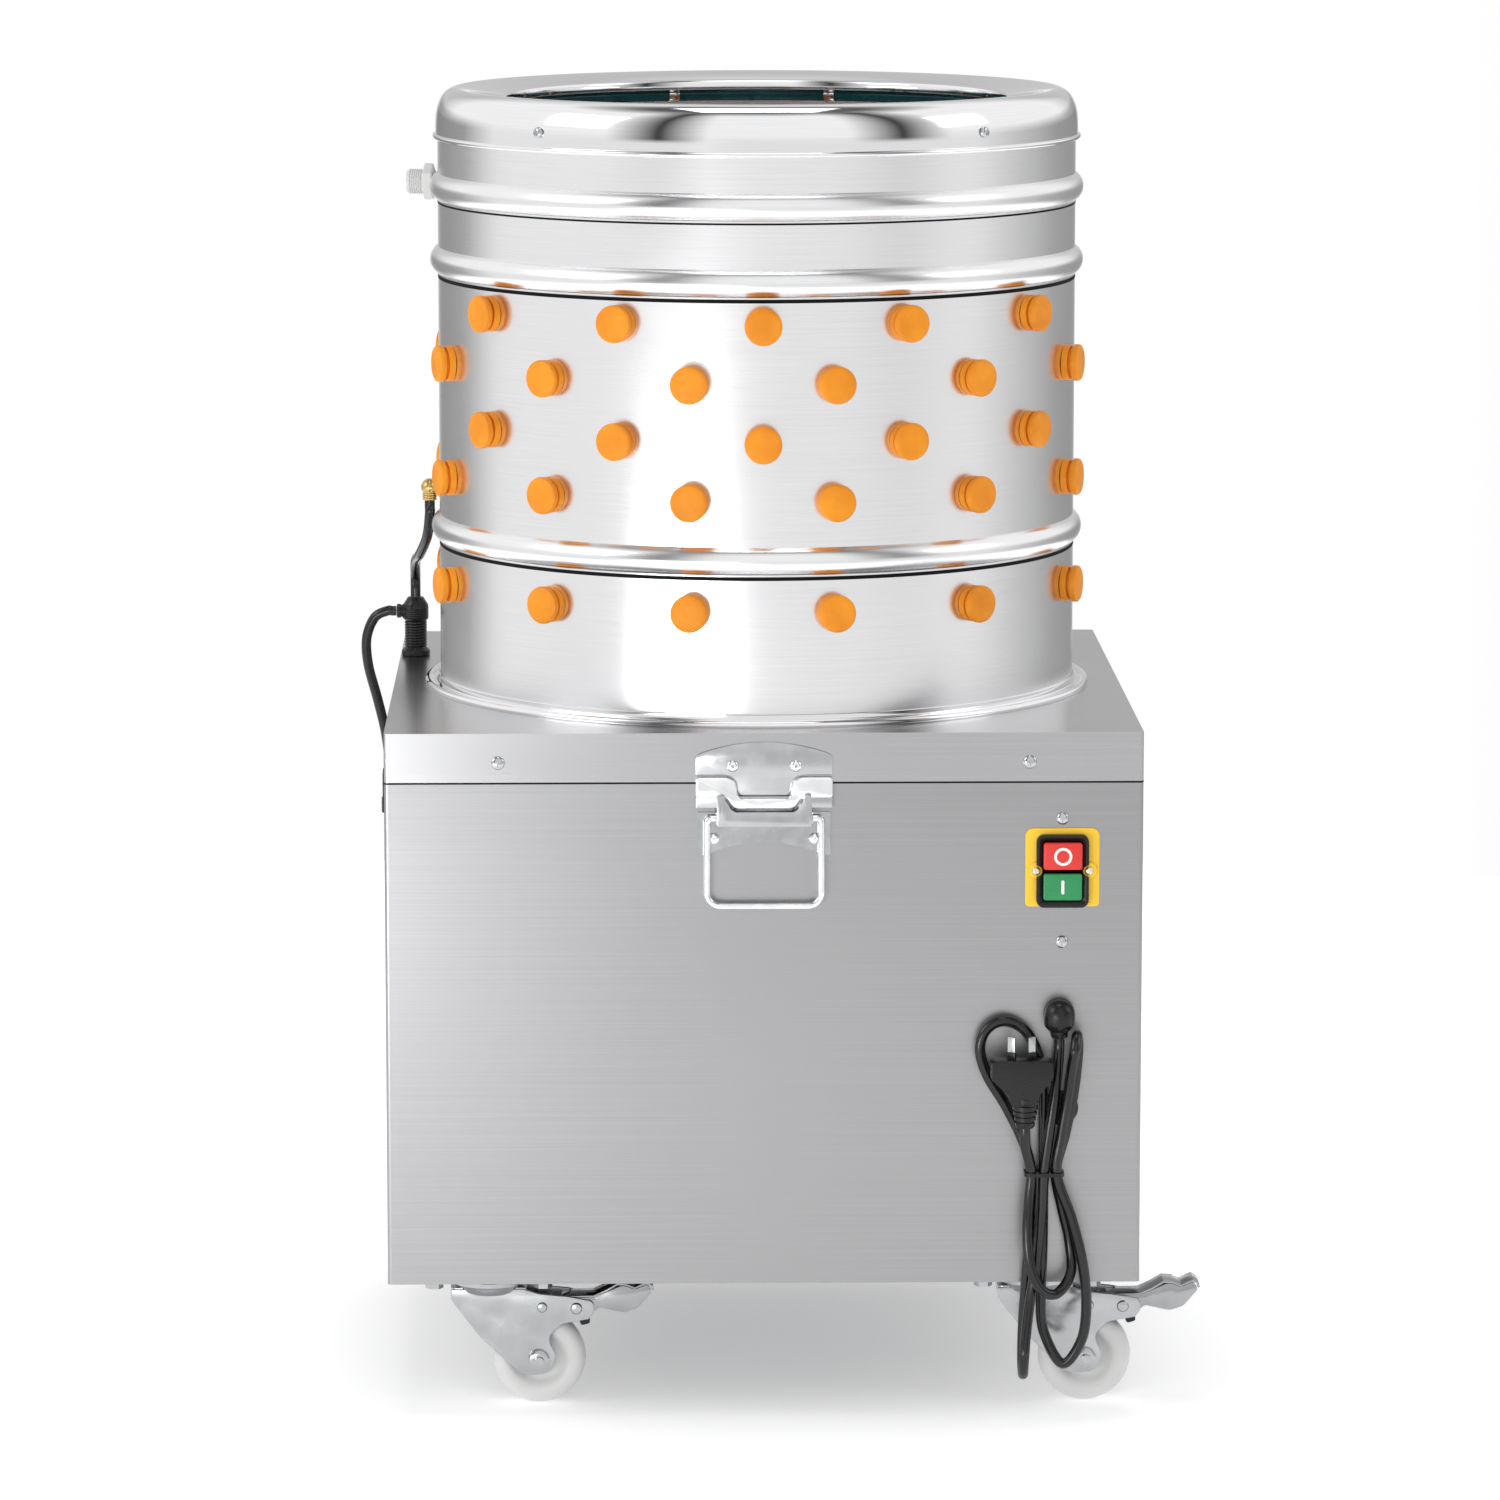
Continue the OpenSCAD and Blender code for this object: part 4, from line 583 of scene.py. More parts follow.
def studio_world(scene):
    """White surroundings with grey flags at the sides and dark ones overhead, as in a studio tent."""
    world = bpy.data.worlds.new("studio")
    scene.world = world
    world.use_nodes = True
    tent = Nodes(world.node_tree)
    split = tent.node("ShaderNodeSeparateXYZ")
    tent.join(tent.node("ShaderNodeTexCoord").outputs["Generated"], split.inputs["Vector"])

    def greys(out, stops):
        return tent.ramp(out, [(place, (value,) * 3) for place, value in stops])

    # Turn is 0.5 at the front and 0 or 1 behind; height is 0.5 at the horizon
    x, y, z = split.outputs
    around = tent.calc("ARCTAN2", x, tent.calc("MULTIPLY", y, -1.0))
    turn = tent.calc("MULTIPLY_ADD", around, 0.5 / math.pi, 0.5)
    height = tent.calc("MULTIPLY_ADD", z, 0.5, 0.5)
    sides = greys(turn, [(0.0, 1.0), (0.02, 1.0), (0.045, 0.26), (0.14, 0.36), (0.2, 0.9), (0.42, 0.86),
                         (0.443, 0.95), (0.48, 0.86), (0.73, 0.86), (0.79, 0.62), (0.87, 0.36), (0.955, 0.28),
                         (0.98, 1.0), (1.0, 1.0)])
    flags = greys(turn, [(0.345, 0.0), (0.40, 1.0), (0.45, 0.0), (0.59, 0.0), (0.645, 1.0), (0.70, 0.0)])
    lift = greys(height, [(0.49, 0.0), (0.515, 0.97), (0.93, 0.97), (0.98, 0.0)])
    level = greys(height, [(0.5, 0.0), (0.56, 1.0)])
    roof = greys(height, [(0.9, 1.0), (0.97, 0.12)])
    behind = greys(turn, [(0.06, 1.0), (0.11, 0.0), (0.89, 0.0), (0.94, 1.0)])
    band = greys(height, [(0.505, 0.0), (0.525, 0.4), (0.7, 0.44), (0.8, 0.2)])
    # The Mix node's factor is its input 0, and its two colours are 6 and 7
    mixed = tent.node("ShaderNodeMix")
    mixed.data_type = "RGBA"
    tent.join(level, mixed.inputs[0])
    tent.join(sides, mixed.inputs[6])
    mixed.inputs[7].default_value = (1, 1, 1, 1)
    roof = tent.calc("MULTIPLY", roof, tent.calc("SUBTRACT", 1.0, tent.calc("MULTIPLY", behind, band)))
    light = tent.calc("MULTIPLY", mixed.outputs[2], roof)
    unflagged = tent.calc("SUBTRACT", 1.0, tent.calc("MULTIPLY", flags, lift))
    tent.join(tent.calc("MULTIPLY", light, unflagged), tent.tree.nodes["Background"].inputs["Color"])


# Stage, in metres: each light's place, width, height and power in watts

FLOOR_R = 2.4
LIGHTS = {
    "key": ((-3.7, -1.5, 2.9), 2.0, 2.0, 34),
    "fill": ((3.9, -0.9, 2.6), 1.6, 1.6, 12),
    "back": ((0.4, 3.2, 3.4), 2.6, 2.6, 34),
    "top": ((0, -0.3, 4.2), 1.6, 1.6, 22),
    "side": ((-0.95, -1.9, 0.2), 1.1, 0.34, 8),
}
LIGHT_AIM = (0, 0, 0.55)
CAMERA_AT, CAMERA_TOWARDS = (-0.115, -5.7, 1.371), (0.01923, 1, -0.1538)
CAMERA_LENS, CAMERA_SENSOR = 166.3, 36


def looking(direction):
    """The turn of a light or camera that looks in a direction."""
    return Vector(direction).to_track_quat("-Z", "Y").to_euler()


class PLUCKER_OT_stage(bpy.types.Operator):
    """Pale floor, soft studio light and the camera"""
    bl_idname = "plucker.stage"
    bl_label = "Stage"

    def execute(self, context):
        deselect()
        bpy.ops.mesh.primitive_circle_add(vertices=96, radius=FLOOR_R, fill_type="NGON")
        floor = context.object
        floor.name = "studio_floor"
        pale = Finish("studio_white").set(Roughness=0.95, Base_Color=(0.93, 0.93, 0.93, 1), Specular_IOR_Level=0.0,
                                          Emission_Color=(1, 1, 1, 1), Emission_Strength=0.36)
        floor.data.materials.append(pale.material)
        for name, (place, wide, tall, power) in LIGHTS.items():
            deselect()
            bpy.ops.object.light_add(type="AREA", location=place)
            lamp = context.object
            lamp.name = "studio_" + name
            lamp.data.shape = "RECTANGLE"
            lamp.data.size = wide
            lamp.data.size_y = tall
            lamp.data.energy = power
            lamp.visible_glossy = name != "back"
            lamp.rotation_euler = looking(Vector(LIGHT_AIM) - Vector(place))
        studio_world(context.scene)
        context.scene.view_settings.view_transform = "Standard"
        deselect()
        bpy.ops.object.camera_add(location=CAMERA_AT)
        camera = context.object
        camera.rotation_euler = looking(CAMERA_TOWARDS)
        camera.data.sensor_width = CAMERA_SENSOR
        camera.data.lens = CAMERA_LENS
        camera.data.clip_end = 100
        context.scene.camera = camera
        return {"FINISHED"}


class PLUCKER_OT_finishes(bpy.types.Operator):
    """Gives every solid of the frame its procedural finish"""
    bl_idname = "plucker.finishes"
    bl_label = "Finishes"

    def execute(self, context):
        make_finishes()
        for finish, names in NODE_FINISH.items():
            for name in names:
                NODES[name].data.materials.clear()
                NODES[name].data.materials.append(FINISHES[finish])
        return {"FINISHED"}


class PLUCKER_OT_mains_lead(bpy.types.Operator):
    """The mains cord from its gland, folded into a tied hank, to the plug"""
    bl_idname = "plucker.mains_lead"
    bl_label = "Mains lead"

    def execute(self, context):
        lead, line = cord_piece("mains_lead", LEAD_ROUTE, sizes().cord_d)
        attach(lead, "cabinet")
        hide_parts("power_cord", "cord_hank")
        return {"FINISHED"}


class PLUCKER_OT_water_hose(bpy.types.Operator):
    """The black water hose from the drum's fitting to the coupling, and its loop over the cover's edge"""
    bl_idname = "plucker.water_hose"
    bl_label = "Water hose"

    def execute(self, context):
        for name, route, far, extra in (("hose_from_drum", HOSE_TOP, "object", []),
                                        ("hose_loop", HOSE_LOOP, "fitting", [bpy.data.objects["hose_end"]])):
            hose, line = cord_piece(name, route, sizes().hose_d)
            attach(hose, "drum_unit")
            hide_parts("water_hose")
        return {"FINISHED"}


# Levels and radii shared with the solids, in millimetres

FRONT = -300
Z_SEAM, Z_TOP, Z_WALL = 514.2, 554, 1025
DRUM_R, WALL, TURNED_STEPS = 262, 1.5, 144
BEAD_ROWS = (131, 351, 411)
BEAD_W, BEAD_RISE = 22, 6.5
# Heights of the painted shade rings under the bead rows
SHADE_LINE_HEIGHTS = (3.0, 3.0, 1.6)
FOOT_R, FOOT_BEAD = 275, 3.5
# Height, rise, corner radius and back end of the painted shadow strip under the cover
SHADOW_STRIP_H, SHADOW_STRIP_RISE, SHADOW_STRIP_CORNER, SHADOW_STRIP_END = 1.4, 0.2, 3.2, 230
PLATE_Z, PLATE_T = 546, 4
FINGER_COLLAR = 13.0
LATCH_PIVOT = (0, -308, 487)
SWITCH_X, SWITCH_Z, SWITCH_DROP, BOSS_X = 236, 446, 2.3, 20.9
GLAND_X, GLAND_Z = 234, 329


def on_drum(angle, z, r):
    """A place on the drum, its own Z pointing out, at an angle from the front."""
    return spun(angle - 90) @ shifted(r, 0, z) @ TO_RIGHT.to_4x4()


class PLUCKER_OT_drum(bpy.types.Operator):
    """The rolled drum wall with its swaged beads and its foot collar, with dark rings of painted shade under the
    beads and a dark strip of painted shadow under its cover
    """
    bl_idname = "plucker.drum"
    bl_label = "Drum wall"

    def execute(self, context):
        big = (BEAD_W ** 2 / 4 + BEAD_RISE ** 2) / (2 * BEAD_RISE)

        def side(offset, upwards):
            line = []
            for h in BEAD_ROWS:
                r = big - offset
                out = DRUM_R + BEAD_RISE - big
                swing = math.degrees(math.acos((DRUM_R - offset - out) / r))
                reach = r * math.sin(math.radians(swing)) + 1.5
                line += [(DRUM_R - offset, Z_TOP + h - reach), *arc(out, Z_TOP + h, r, -swing, swing, 12),
                         (DRUM_R - offset, Z_TOP + h + reach)]
            line = [(DRUM_R - offset, Z_TOP)] + line + [(DRUM_R - offset, Z_WALL)]
            return line if upwards else line[::-1]

        section = side(0, True) + side(WALL, False)
        wall = turned(section + section[:1], TURNED_STEPS)
        finished(wall, "drum_wall", "bright", "drum_unit", "stainless", "drum")
        # Thin dark rings just under each bead row: painted shade, standing in for the shadow under the beads; they
        # are no part of the machine
        shade_lines = []
        for h, tall in zip(BEAD_ROWS, SHADE_LINE_HEIGHTS):
            top = Z_TOP + h - BEAD_W / 2 - 1.2
            shade_lines.append(turned([(DRUM_R - 0.9, top), (DRUM_R - 0.9, top - tall), (DRUM_R + 0.05, top - tall),
                                 (DRUM_R + 0.22, top - tall + 0.4), (DRUM_R + 0.22, top - 0.4),
                                 (DRUM_R + 0.05, top), (DRUM_R - 0.9, top)], TURNED_STEPS))
        finished(joined(shade_lines), "drum_painted_shade_lines", "joint", "drum_unit", "black_rubber")
        hub, edge = DRUM_R + 0.2, FOOT_R - FOOT_BEAD
        lap = math.degrees(math.asin(1.5 / FOOT_BEAD))
        foot = [(hub, Z_TOP), (hub, Z_TOP + 8.6), (hub + 0.3, Z_TOP + 9), (hub + 1.2, Z_TOP + 9),
                (hub + 1.5, Z_TOP + 8.6)]
        foot += arc(hub + 3, Z_TOP + 4.5, 1.5, 180, 270, 5)
        foot += arc(edge, Z_TOP + 1.5, FOOT_BEAD, 180 - lap, -lap, 16)
        finished(turned(foot + foot[:1], 192), "foot_collar", "rim", "drum_unit", "stainless", "foot_ring")
        # A thin dark strip round the cover's lower edge: painted shadow, standing in for the shade under the
        # cover's skirt; it is no part of the machine
        out = SHADOW_STRIP_RISE - FRONT
        back, r = out - 1, SHADOW_STRIP_CORNER
        shadow_strip = plate(rounded([(out, SHADOW_STRIP_END, 0), (out, -out, r), (-out, -out, r), (-out, SHADOW_STRIP_END, 0),
                              (-back, SHADOW_STRIP_END, 0), (-back, -back, r - 1), (back, -back, r - 1),
                              (back, SHADOW_STRIP_END, 0)]), SHADOW_STRIP_H)
        moved(shadow_strip, (0, 0, Z_SEAM - SHADOW_STRIP_H / 2), TO_REAR)
        finished(shadow_strip, "cover_painted_shadow", "joint", "drum_unit", "black_rubber")
        return {"FINISHED"}


class PLUCKER_OT_rim(bpy.types.Operator):
    """The pressed rim: hemmed skirt, round shoulder, shallow cone and turned lip"""
    bl_idname = "plucker.rim"
    bl_label = "Rim"

    def execute(self, context):
        inner, thick, mouth, shoulder, hem = 262.2, 2, 205, 18, 2.2
        outer = inner + thick
        low, bend = Z_WALL - 21, Z_WALL + 2
        crest, top, dip = outer - shoulder, bend + shoulder, 6
        mouth_z = top - dip
        section = [(inner, low)] + arc(outer, low + hem, hem, -90, 90, 8)
        reach = top - low - 2 * hem - 1
        for k in range(1, 25):
            a = math.radians(90 * k / 24)
            section.append((crest + shoulder * math.cos(a) ** 0.9, top - reach + reach * math.sin(a) ** 0.72))
        section += [(crest - 3, top - 0.15), (crest - 7, top - 0.75)]
        section += [(mouth + 5, mouth_z + 0.72)] + arc(mouth + 2, mouth_z - 2.2, 2, 80, 180, 6)
        section += [(mouth, mouth_z - 8), (mouth + thick, mouth_z - 8), (mouth + thick, mouth_z - 2.6)]
        section += [(mouth + 5, mouth_z - thick + 0.72), (crest, top - thick)]
        section += arc(crest, bend, shoulder - thick, 80, 0, 10)
        rim = turned(section + section[:1], 160)
        finished(rim, "rim", "rim", "drum_unit", "stainless", "rim_ring")
        return {"FINISHED"}


def finger(neck):
    """One rubber finger along Z, its head at the top and its seat at 0."""
    head = sizes().finger_head_d / MM / 2
    seat, groove = head - 0.5, head - 4
    hole, collar = 10.3, FINGER_COLLAR
    ribs, top, low, tip = 7, -neck - 5, -72 + 6.5, 6.5
    step = (top - low) / ribs
    section = [(0, 13.5), (head - 4, 13.5), (head - 1.6, 13.2), (head - 0.4, 12.3), (head, 11),
               (head, 8.6), (head - 0.6, 7.6), (groove, 7.5), (groove, 5.0),
               (seat - 0.8, 5.0), (seat, 4.3), (seat, 0.0), (hole, 0.0), (hole, -neck),
               (collar, -neck), (collar, top + 1), (collar - 1, top)]
    for k in range(ribs):
        z = top - k * step
        r = 9 - 2.5 * k / ribs
        section += [(r, z - 0.1 * step), (r, z - 0.38 * step), (r + 1.2, z - 0.5 * step),
                    (r + 1.2, z - 0.7 * step), (r, z - 0.82 * step)]
    section += [(tip, low), (tip * 0.9, low - tip * 0.45), (tip * 0.6, low - tip * 0.82), (0, low - tip)]
    return turned(section, 26)


class PLUCKER_OT_fingers(bpy.types.Operator):
    """The rubber fingers, pulled through the drum wall and the spinning plate"""
    bl_idname = "plucker.fingers"
    bl_label = "Fingers"

    def execute(self, context):
        inside = math.sqrt((DRUM_R - WALL) ** 2 - FINGER_COLLAR ** 2) - 0.05
        places = []

        def angle(k):
            return 30 * k - 5 * math.sin(math.radians(60 * k))

        for row in range(4):
            for k in range(12):
                shift = 0.5 if row % 2 == 0 else 0
                if shift or k % 6 != 3:
                    places.append(on_drum(angle(k + shift), Z_TOP + 178 + 46.7 * row, DRUM_R))
        places += [on_drum(angle(k + 0.5), Z_TOP + 90, DRUM_R) for k in range(12)]
        wall = copied(finger(DRUM_R - inside), places)
        finished(wall, "drum_fingers", "rubber", "drum_unit", "orange_rubber", "wall_fingers")
        places = []
        flip = Matrix.Rotation(math.pi, 4, "X")
        for k, (r, count) in enumerate(((85, 6), (148, 10), (208, 14))):
            for i in range(count):
                places.append(spun(360 * (i + 0.5 * (k % 2)) / count) @ shifted(r, 0, PLATE_Z - PLATE_T) @ flip)
        standing = copied(finger(PLATE_T + 0.05), places)
        finished(standing, "turntable_fingers", "rubber", "turntable_unit", "orange_rubber", "plate_fingers")
        return {"FINISHED"}


class PLUCKER_OT_latch(bpy.types.Operator):
    """Keeper, toggle lever with its claw in a lighter finish as a painted highlight, and the wire bail"""
    bl_idname = "plucker.latch"
    bl_label = "Latch"

    def execute(self, context):
        crown = [(x, 546.9 - (149.6 - math.sqrt(149.6 ** 2 - x * x)), 0) for x in (0, 10, 20, 30, 40, 48)]
        keeper = plate(rounded(mirrored(crown + [(54.2, 536.2, 4), (54.2, 520.6, 0.8), (29, 520.6, 7),
                                                 (21.6, 509, 5), (18.5, 503.4, 6.5)])), 1.9, 0.6)
        moved(keeper, (0, FRONT - 0.1, 0))
        finished(keeper, "latch_keeper", "latch", "drum_unit", "bright_steel", "keeper_plate")
        claw = plate(rounded([(-54.2, 519.4, 2.6), (-54.2, 503, 2.6), (-31, 503, 6), (-24.5, 492.6, 9),
                              (24.5, 492.6, 9), (31, 503, 6), (54.2, 503, 2.6), (54.2, 519.4, 2.6),
                              (22.2, 519.4, 9), (20.8, 502.4, 5), (-20.8, 502.4, 5), (-22.2, 519.4, 9)]), 4.6, 1.4)
        moved(claw, (0, FRONT - 2.6, 0))
        ears = plate(rect(54, 494.8, 504, 1), 1.6, 0.4)
        moved(ears, (0, FRONT - 3.2, 0))
        body = plate(rounded([(-37.4, 505.4, 1.6), (-31.6, 505.4, 2), (-31.6, 503.4, 3), (-24.8, 492.4, 8.5),
                              (24.8, 492.4, 8.5), (31.6, 503.4, 3), (31.6, 505.4, 2), (37.4, 505.4, 1.6),
                              (37.4, 481.4, 1.4), (-37.4, 481.4, 1.4)], 4), 1.8, 0.5, 2)
        moved(body, (0, FRONT - 12.4, 0))
        web = plate(rounded([(-36, 504.6, 1), (-32, 504.6, 1), (-26, 491.6, 4), (26, 491.6, 4), (32, 504.6, 1),
                             (36, 504.6, 1), (36, 488, 1), (-36, 488, 1)], 3), 9, 0.4, 2)
        moved(web, (0, FRONT - 3.6, 0))
        barrel = turned([(2.9, -31), (5, -31), (5.4, -30.4), (5.4, 30.4), (5, 31), (2.9, 31), (2.9, -31)], 24)
        moved(barrel, LATCH_PIVOT, TO_RIGHT)
        finished(joined([ears, body, web, barrel]), "latch_lever_body", "latch", "latch_lever_body", "bright_steel",
                 "latch_lever")
        # The claw is part of the lever's pressing but takes the far lighter wire finish: a painted highlight
        finished(claw, "latch_claw", "wire", "latch_lever_body", "bright_steel", "latch_lever")
        return {"FINISHED"}


def pan_head(radius, shank):
    """A pan head screw along Z with a crossed recess, its seat at 0."""
    head = turned([(0, -shank), (1.9, -shank), (1.9, 0), (radius, 0), (radius, 0.9), (radius * 0.93, 1.6),
                   (radius * 0.7, 2.4), (radius * 0.4, 2.8), (0, 2.95)], 32)
    for turn in (0, 1):
        deselect()
        bpy.ops.mesh.primitive_cube_add(size=MM)
        slot = bpy.context.object
        slot.scale = (radius * 1.15, 0.95, 3) if turn else (0.95, radius * 1.15, 3)
        cut(head, settled(slot), (0, 0, 3.2 + 0.08 * turn))
    return head


def hollow_rivet(radius, shank):
    """A domed rivet along Z with the small hole of its pulled pin."""
    return turned([(0, -shank), (1.9, -shank), (1.9, 0), (radius, 0), (radius, 0.7), (radius * 0.86, 1.7),
                   (radius * 0.55, 2.4), (1.35, 2.6), (1.2, 2.2), (1.1, -2.5), (0, -2.5)], 32)


def facing(x, z, out=0.0):
    """A place on the front, its own Z pointing at the viewer."""
    return shifted(x, FRONT - out, z) @ TO_FRONT.to_4x4()


class PLUCKER_OT_fasteners(bpy.types.Operator):
    """Screws of rim, cover, switch and panel, and the latch's rivets"""
    bl_idname = "plucker.fasteners"
    bl_label = "Fasteners"

    def execute(self, context):
        x, z = SWITCH_X, SWITCH_Z
        rim = copied(pan_head(4.5, 6), [on_drum(a, Z_WALL - 5, DRUM_R + 2.3) for a in (42, 138, 222, 318)])
        skirt = copied(pan_head(5.4, 5), [facing(side * 210, 530.4) for side in (-1, 1)])
        keeper = copied(hollow_rivet(4.7, 5), [facing(side * 25, 528, 2) for side in (-1, 1)])
        finished(joined([rim, skirt]), "upper_screws", "screw", "drum_unit", "bright_steel", "upper_fasteners")
        finished(keeper, "keeper_rivets", "wire", "drum_unit", "bright_steel", "upper_fasteners")
        panel = copied(pan_head(5, 5), [facing(x, z + 39), facing(x, z - 60)])
        finished(panel, "panel_screws", "screw", "cabinet", "bright_steel", "front_fasteners")
        base = copied(hollow_rivet(4.7, 5), [facing(side * 40, 470, 2) for side in (-1, 1)])
        finished(base, "base_rivets", "wire", "cabinet", "bright_steel", "front_fasteners")
        boss = copied(pan_head(3.4, 5), [facing(x + side * BOSS_X, z - SWITCH_DROP, 3.9) for side in (-1, 1)])
        finished(boss, "switch_screws", "cream", "cabinet", "bright_steel", "front_fasteners")
        return {"FINISHED"}


class PLUCKER_OT_switch(bpy.types.Operator):
    """Start and stop buttons with their signs, in a black frame on a yellow plate"""
    bl_idname = "plucker.switch"
    bl_label = "Switch"

    def execute(self, context):
        x, z = SWITCH_X, SWITCH_Z - SWITCH_DROP
        edge = plate(rect(29.3, -29.1, 33.7, 3, 6), 1.5, 0.5)
        cut(edge, plate(rect(17, -25, 25), 6), (0, 3, 0))
        moved(edge, (x, FRONT, z))
        bosses = [moved(turned([(0, 0), (6.8, 0), (6.8, 3), (6.2, 3.9), (5.2, 4), (0, 4)], 32),
                        (x + s * BOSS_X, FRONT, z), TO_FRONT) for s in (-1, 1)]
        finished(joined([edge, *bosses]), "switch_yellow_plate", "yellow", "cabinet", "yellow_plastic",
                 "switch_plate")
        rim = plate(rect(20.7, -29.1, 29.1, 6, steps=6), 7.5)
        edit(rim, "FACE")
        bpy.ops.mesh.select_all(action="DESELECT")
        bpy.ops.object.mode_set(mode="OBJECT")
        for face in rim.data.polygons:
            face.select = face.normal.y < -0.9
        bpy.ops.object.mode_set(mode="EDIT")
        bpy.ops.mesh.inset(thickness=2.2 * MM, depth=0)
        bpy.ops.mesh.inset(thickness=2.6 * MM, depth=-1.6 * MM)
        bpy.ops.object.mode_set(mode="OBJECT")
        close_up(rim)
        cut(rim, plate(rect(15.9, -24.3, 24.3, 2), 12), (0, 2, 0))
        round_edges(rim, 0.6)
        for s in (-1, 1):
            cut(rim, turned([(0, -2), (4.7, -2), (4.7, 12), (0, 12)], 40), (s * BOSS_X, 0, 0), TO_FRONT)
        rim = joined([rim, plate(rect(16.2, -1.3, 1.3), 5, 0.4, 2)])
        moved(rim, (x, FRONT, z))
        finished(rim, "switch_frame_moulding", "black", "cabinet", "black_plastic", "switch_frame")
        for name, s, rise, finish, slot, body in (
                ("stop", 1, 11.1, "red", "red_plastic", "stop_button_body"),
                ("start", -1, 9.1, "green", "green_plastic", "start_button_body")):
            middle = z + s * 12.4
            cap = moved(plate(rect(15.3, -10.7, 10.7, 2), rise - 1, 1.1), (x, FRONT - 1, middle))
            finished(cap, name + "_cap", finish, body, slot, name + "_button")
            if s > 0:
                sign = turned([(5.0, 0), (7.2, 0), (7.2, 0.3), (7.0, 0.45), (5.2, 0.45), (5.0, 0.3), (5.0, 0)], 48)
                moved(sign, (x, FRONT - rise, middle), TO_FRONT)
            else:
                sign = moved(plate(rect(1.2, -5.6, 5.6, 1), 0.45, 0.12, 2), (x, FRONT - rise, middle))
            finished(sign, name + "_sign", "sign", body, "white_nylon")
        return {"FINISHED"}


class PLUCKER_OT_gland(bpy.types.Operator):
    """The domed cord gland with its tapered strain relief"""
    bl_idname = "plucker.gland"
    bl_label = "Cord gland"

    def execute(self, context):
        section = [(0, 341.6)] + arc(0, GLAND_Z + 0.2, 12.3, 80, 0, 8)
        section += [(12.3, 322), (11.6, 319.6), (8.6, 316.6), (7.4, 315.8), (7.2, 313.6), (6.4, 311.1),
                    (4.4, 311.1), (4.4, 316), (0, 316)]
        dome = moved(turned(section, 40), (GLAND_X, FRONT - 10.6, 0))
        foot = plate(arc(GLAND_X, GLAND_Z, 12.4, 0, 351, 39), 6, 0.8)
        moved(foot, (0, FRONT, 0))
        finished(joined([dome, foot]), "gland_dome", "black", "cabinet", "black_plastic", "cord_gland")
        return {"FINISHED"}


class PLUCKER_OT_plug(bpy.types.Operator):
    """The moulded mains plug with its ribbed neck and flat pins"""
    bl_idname = "plucker.plug"
    bl_label = "Mains plug"

    def execute(self, context):
        x, y, z = PLUG_AT
        neck = [(4.2, 0), (6.4, 0), (7.2, 1)]
        for k in range(4):
            r, h = 7.8 + 0.75 * k, 2 + 4.4 * k
            neck += [(r, h), (r, h + 2.6), (r - 1.2, h + 3), (r - 1.2, h + 4)]
        neck += [(10.2, 20.5), (10.2, 24), (4.2, 24), (4.2, 0)]
        neck = moved(turned(neck, 32), (x, y, z))
        head = plate(rounded([(-24, 40, 1.5), (-24, 55, 3), (24, 55, 3), (24, 40, 1.5), (19, 34, 6), (13, 26, 10),
                              (11, 18, 2), (-7, 18, 2), (-10, 27, 10), (-18, 34.5, 6)][::-1]), 19, 3.2, 4)
        moved(head, (x - 3, y + 9.5, z))
        ledge = plate(rounded([(-24.6, 41, 1), (-24.6, 54.4, 2), (24.6, 54.4, 2), (24.6, 41, 1)][::-1]), 20, 2.4, 4)
        moved(ledge, (x - 3, y + 10, z))
        finished(joined([head, neck, ledge]), "plug_moulding", "black", "cabinet", "black_plastic", "mains_plug")
        for name, finish, slot, outline, thick in (
                ("plug_pins", "zinc", "bright_steel", rect(3.2, 0, 19, 0.4, 1), 1.6),
                ("plug_pin_sleeves", "black", "black_plastic", rect(3.6, 0, 7, 0.4, 0.6), 2.2)):
            pair = []
            for s in (-1, 1):
                blade = moved(plate(outline, thick, 0.3, 2), (0, thick / 2, 0))
                pair.append(moved(blade, (x - 3 + s * 8, y, z + 54), Matrix.Rotation(math.radians(s * 30), 3, "Z")))
            finished(joined(pair), name, finish, "cabinet", slot, "mains_plug")
        return {"FINISHED"}


CASTERS = {"front_left": (-220, -241), "front_right": (220, -241), "rear_left": (-220, 241),
           "rear_right": (220, 241)}
CASTER_TRAIL, WHEEL_R, FORK_HALF, FORK_T = 40, 37.5, 17, 2.5
FORK_OUTLINE = [(-31, 96, 2), (-31, 88, 8), (-8, 57, 10), (26, 25, 12), (52, 26, 13), (53, 43, 8), (46.4, 56, 8),
                (58, 67, 10), (80, 71, 3), (84, 76, 4), (84, 86, 5), (62, 90, 8), (40, 92, 12), (28, 96, 6)]


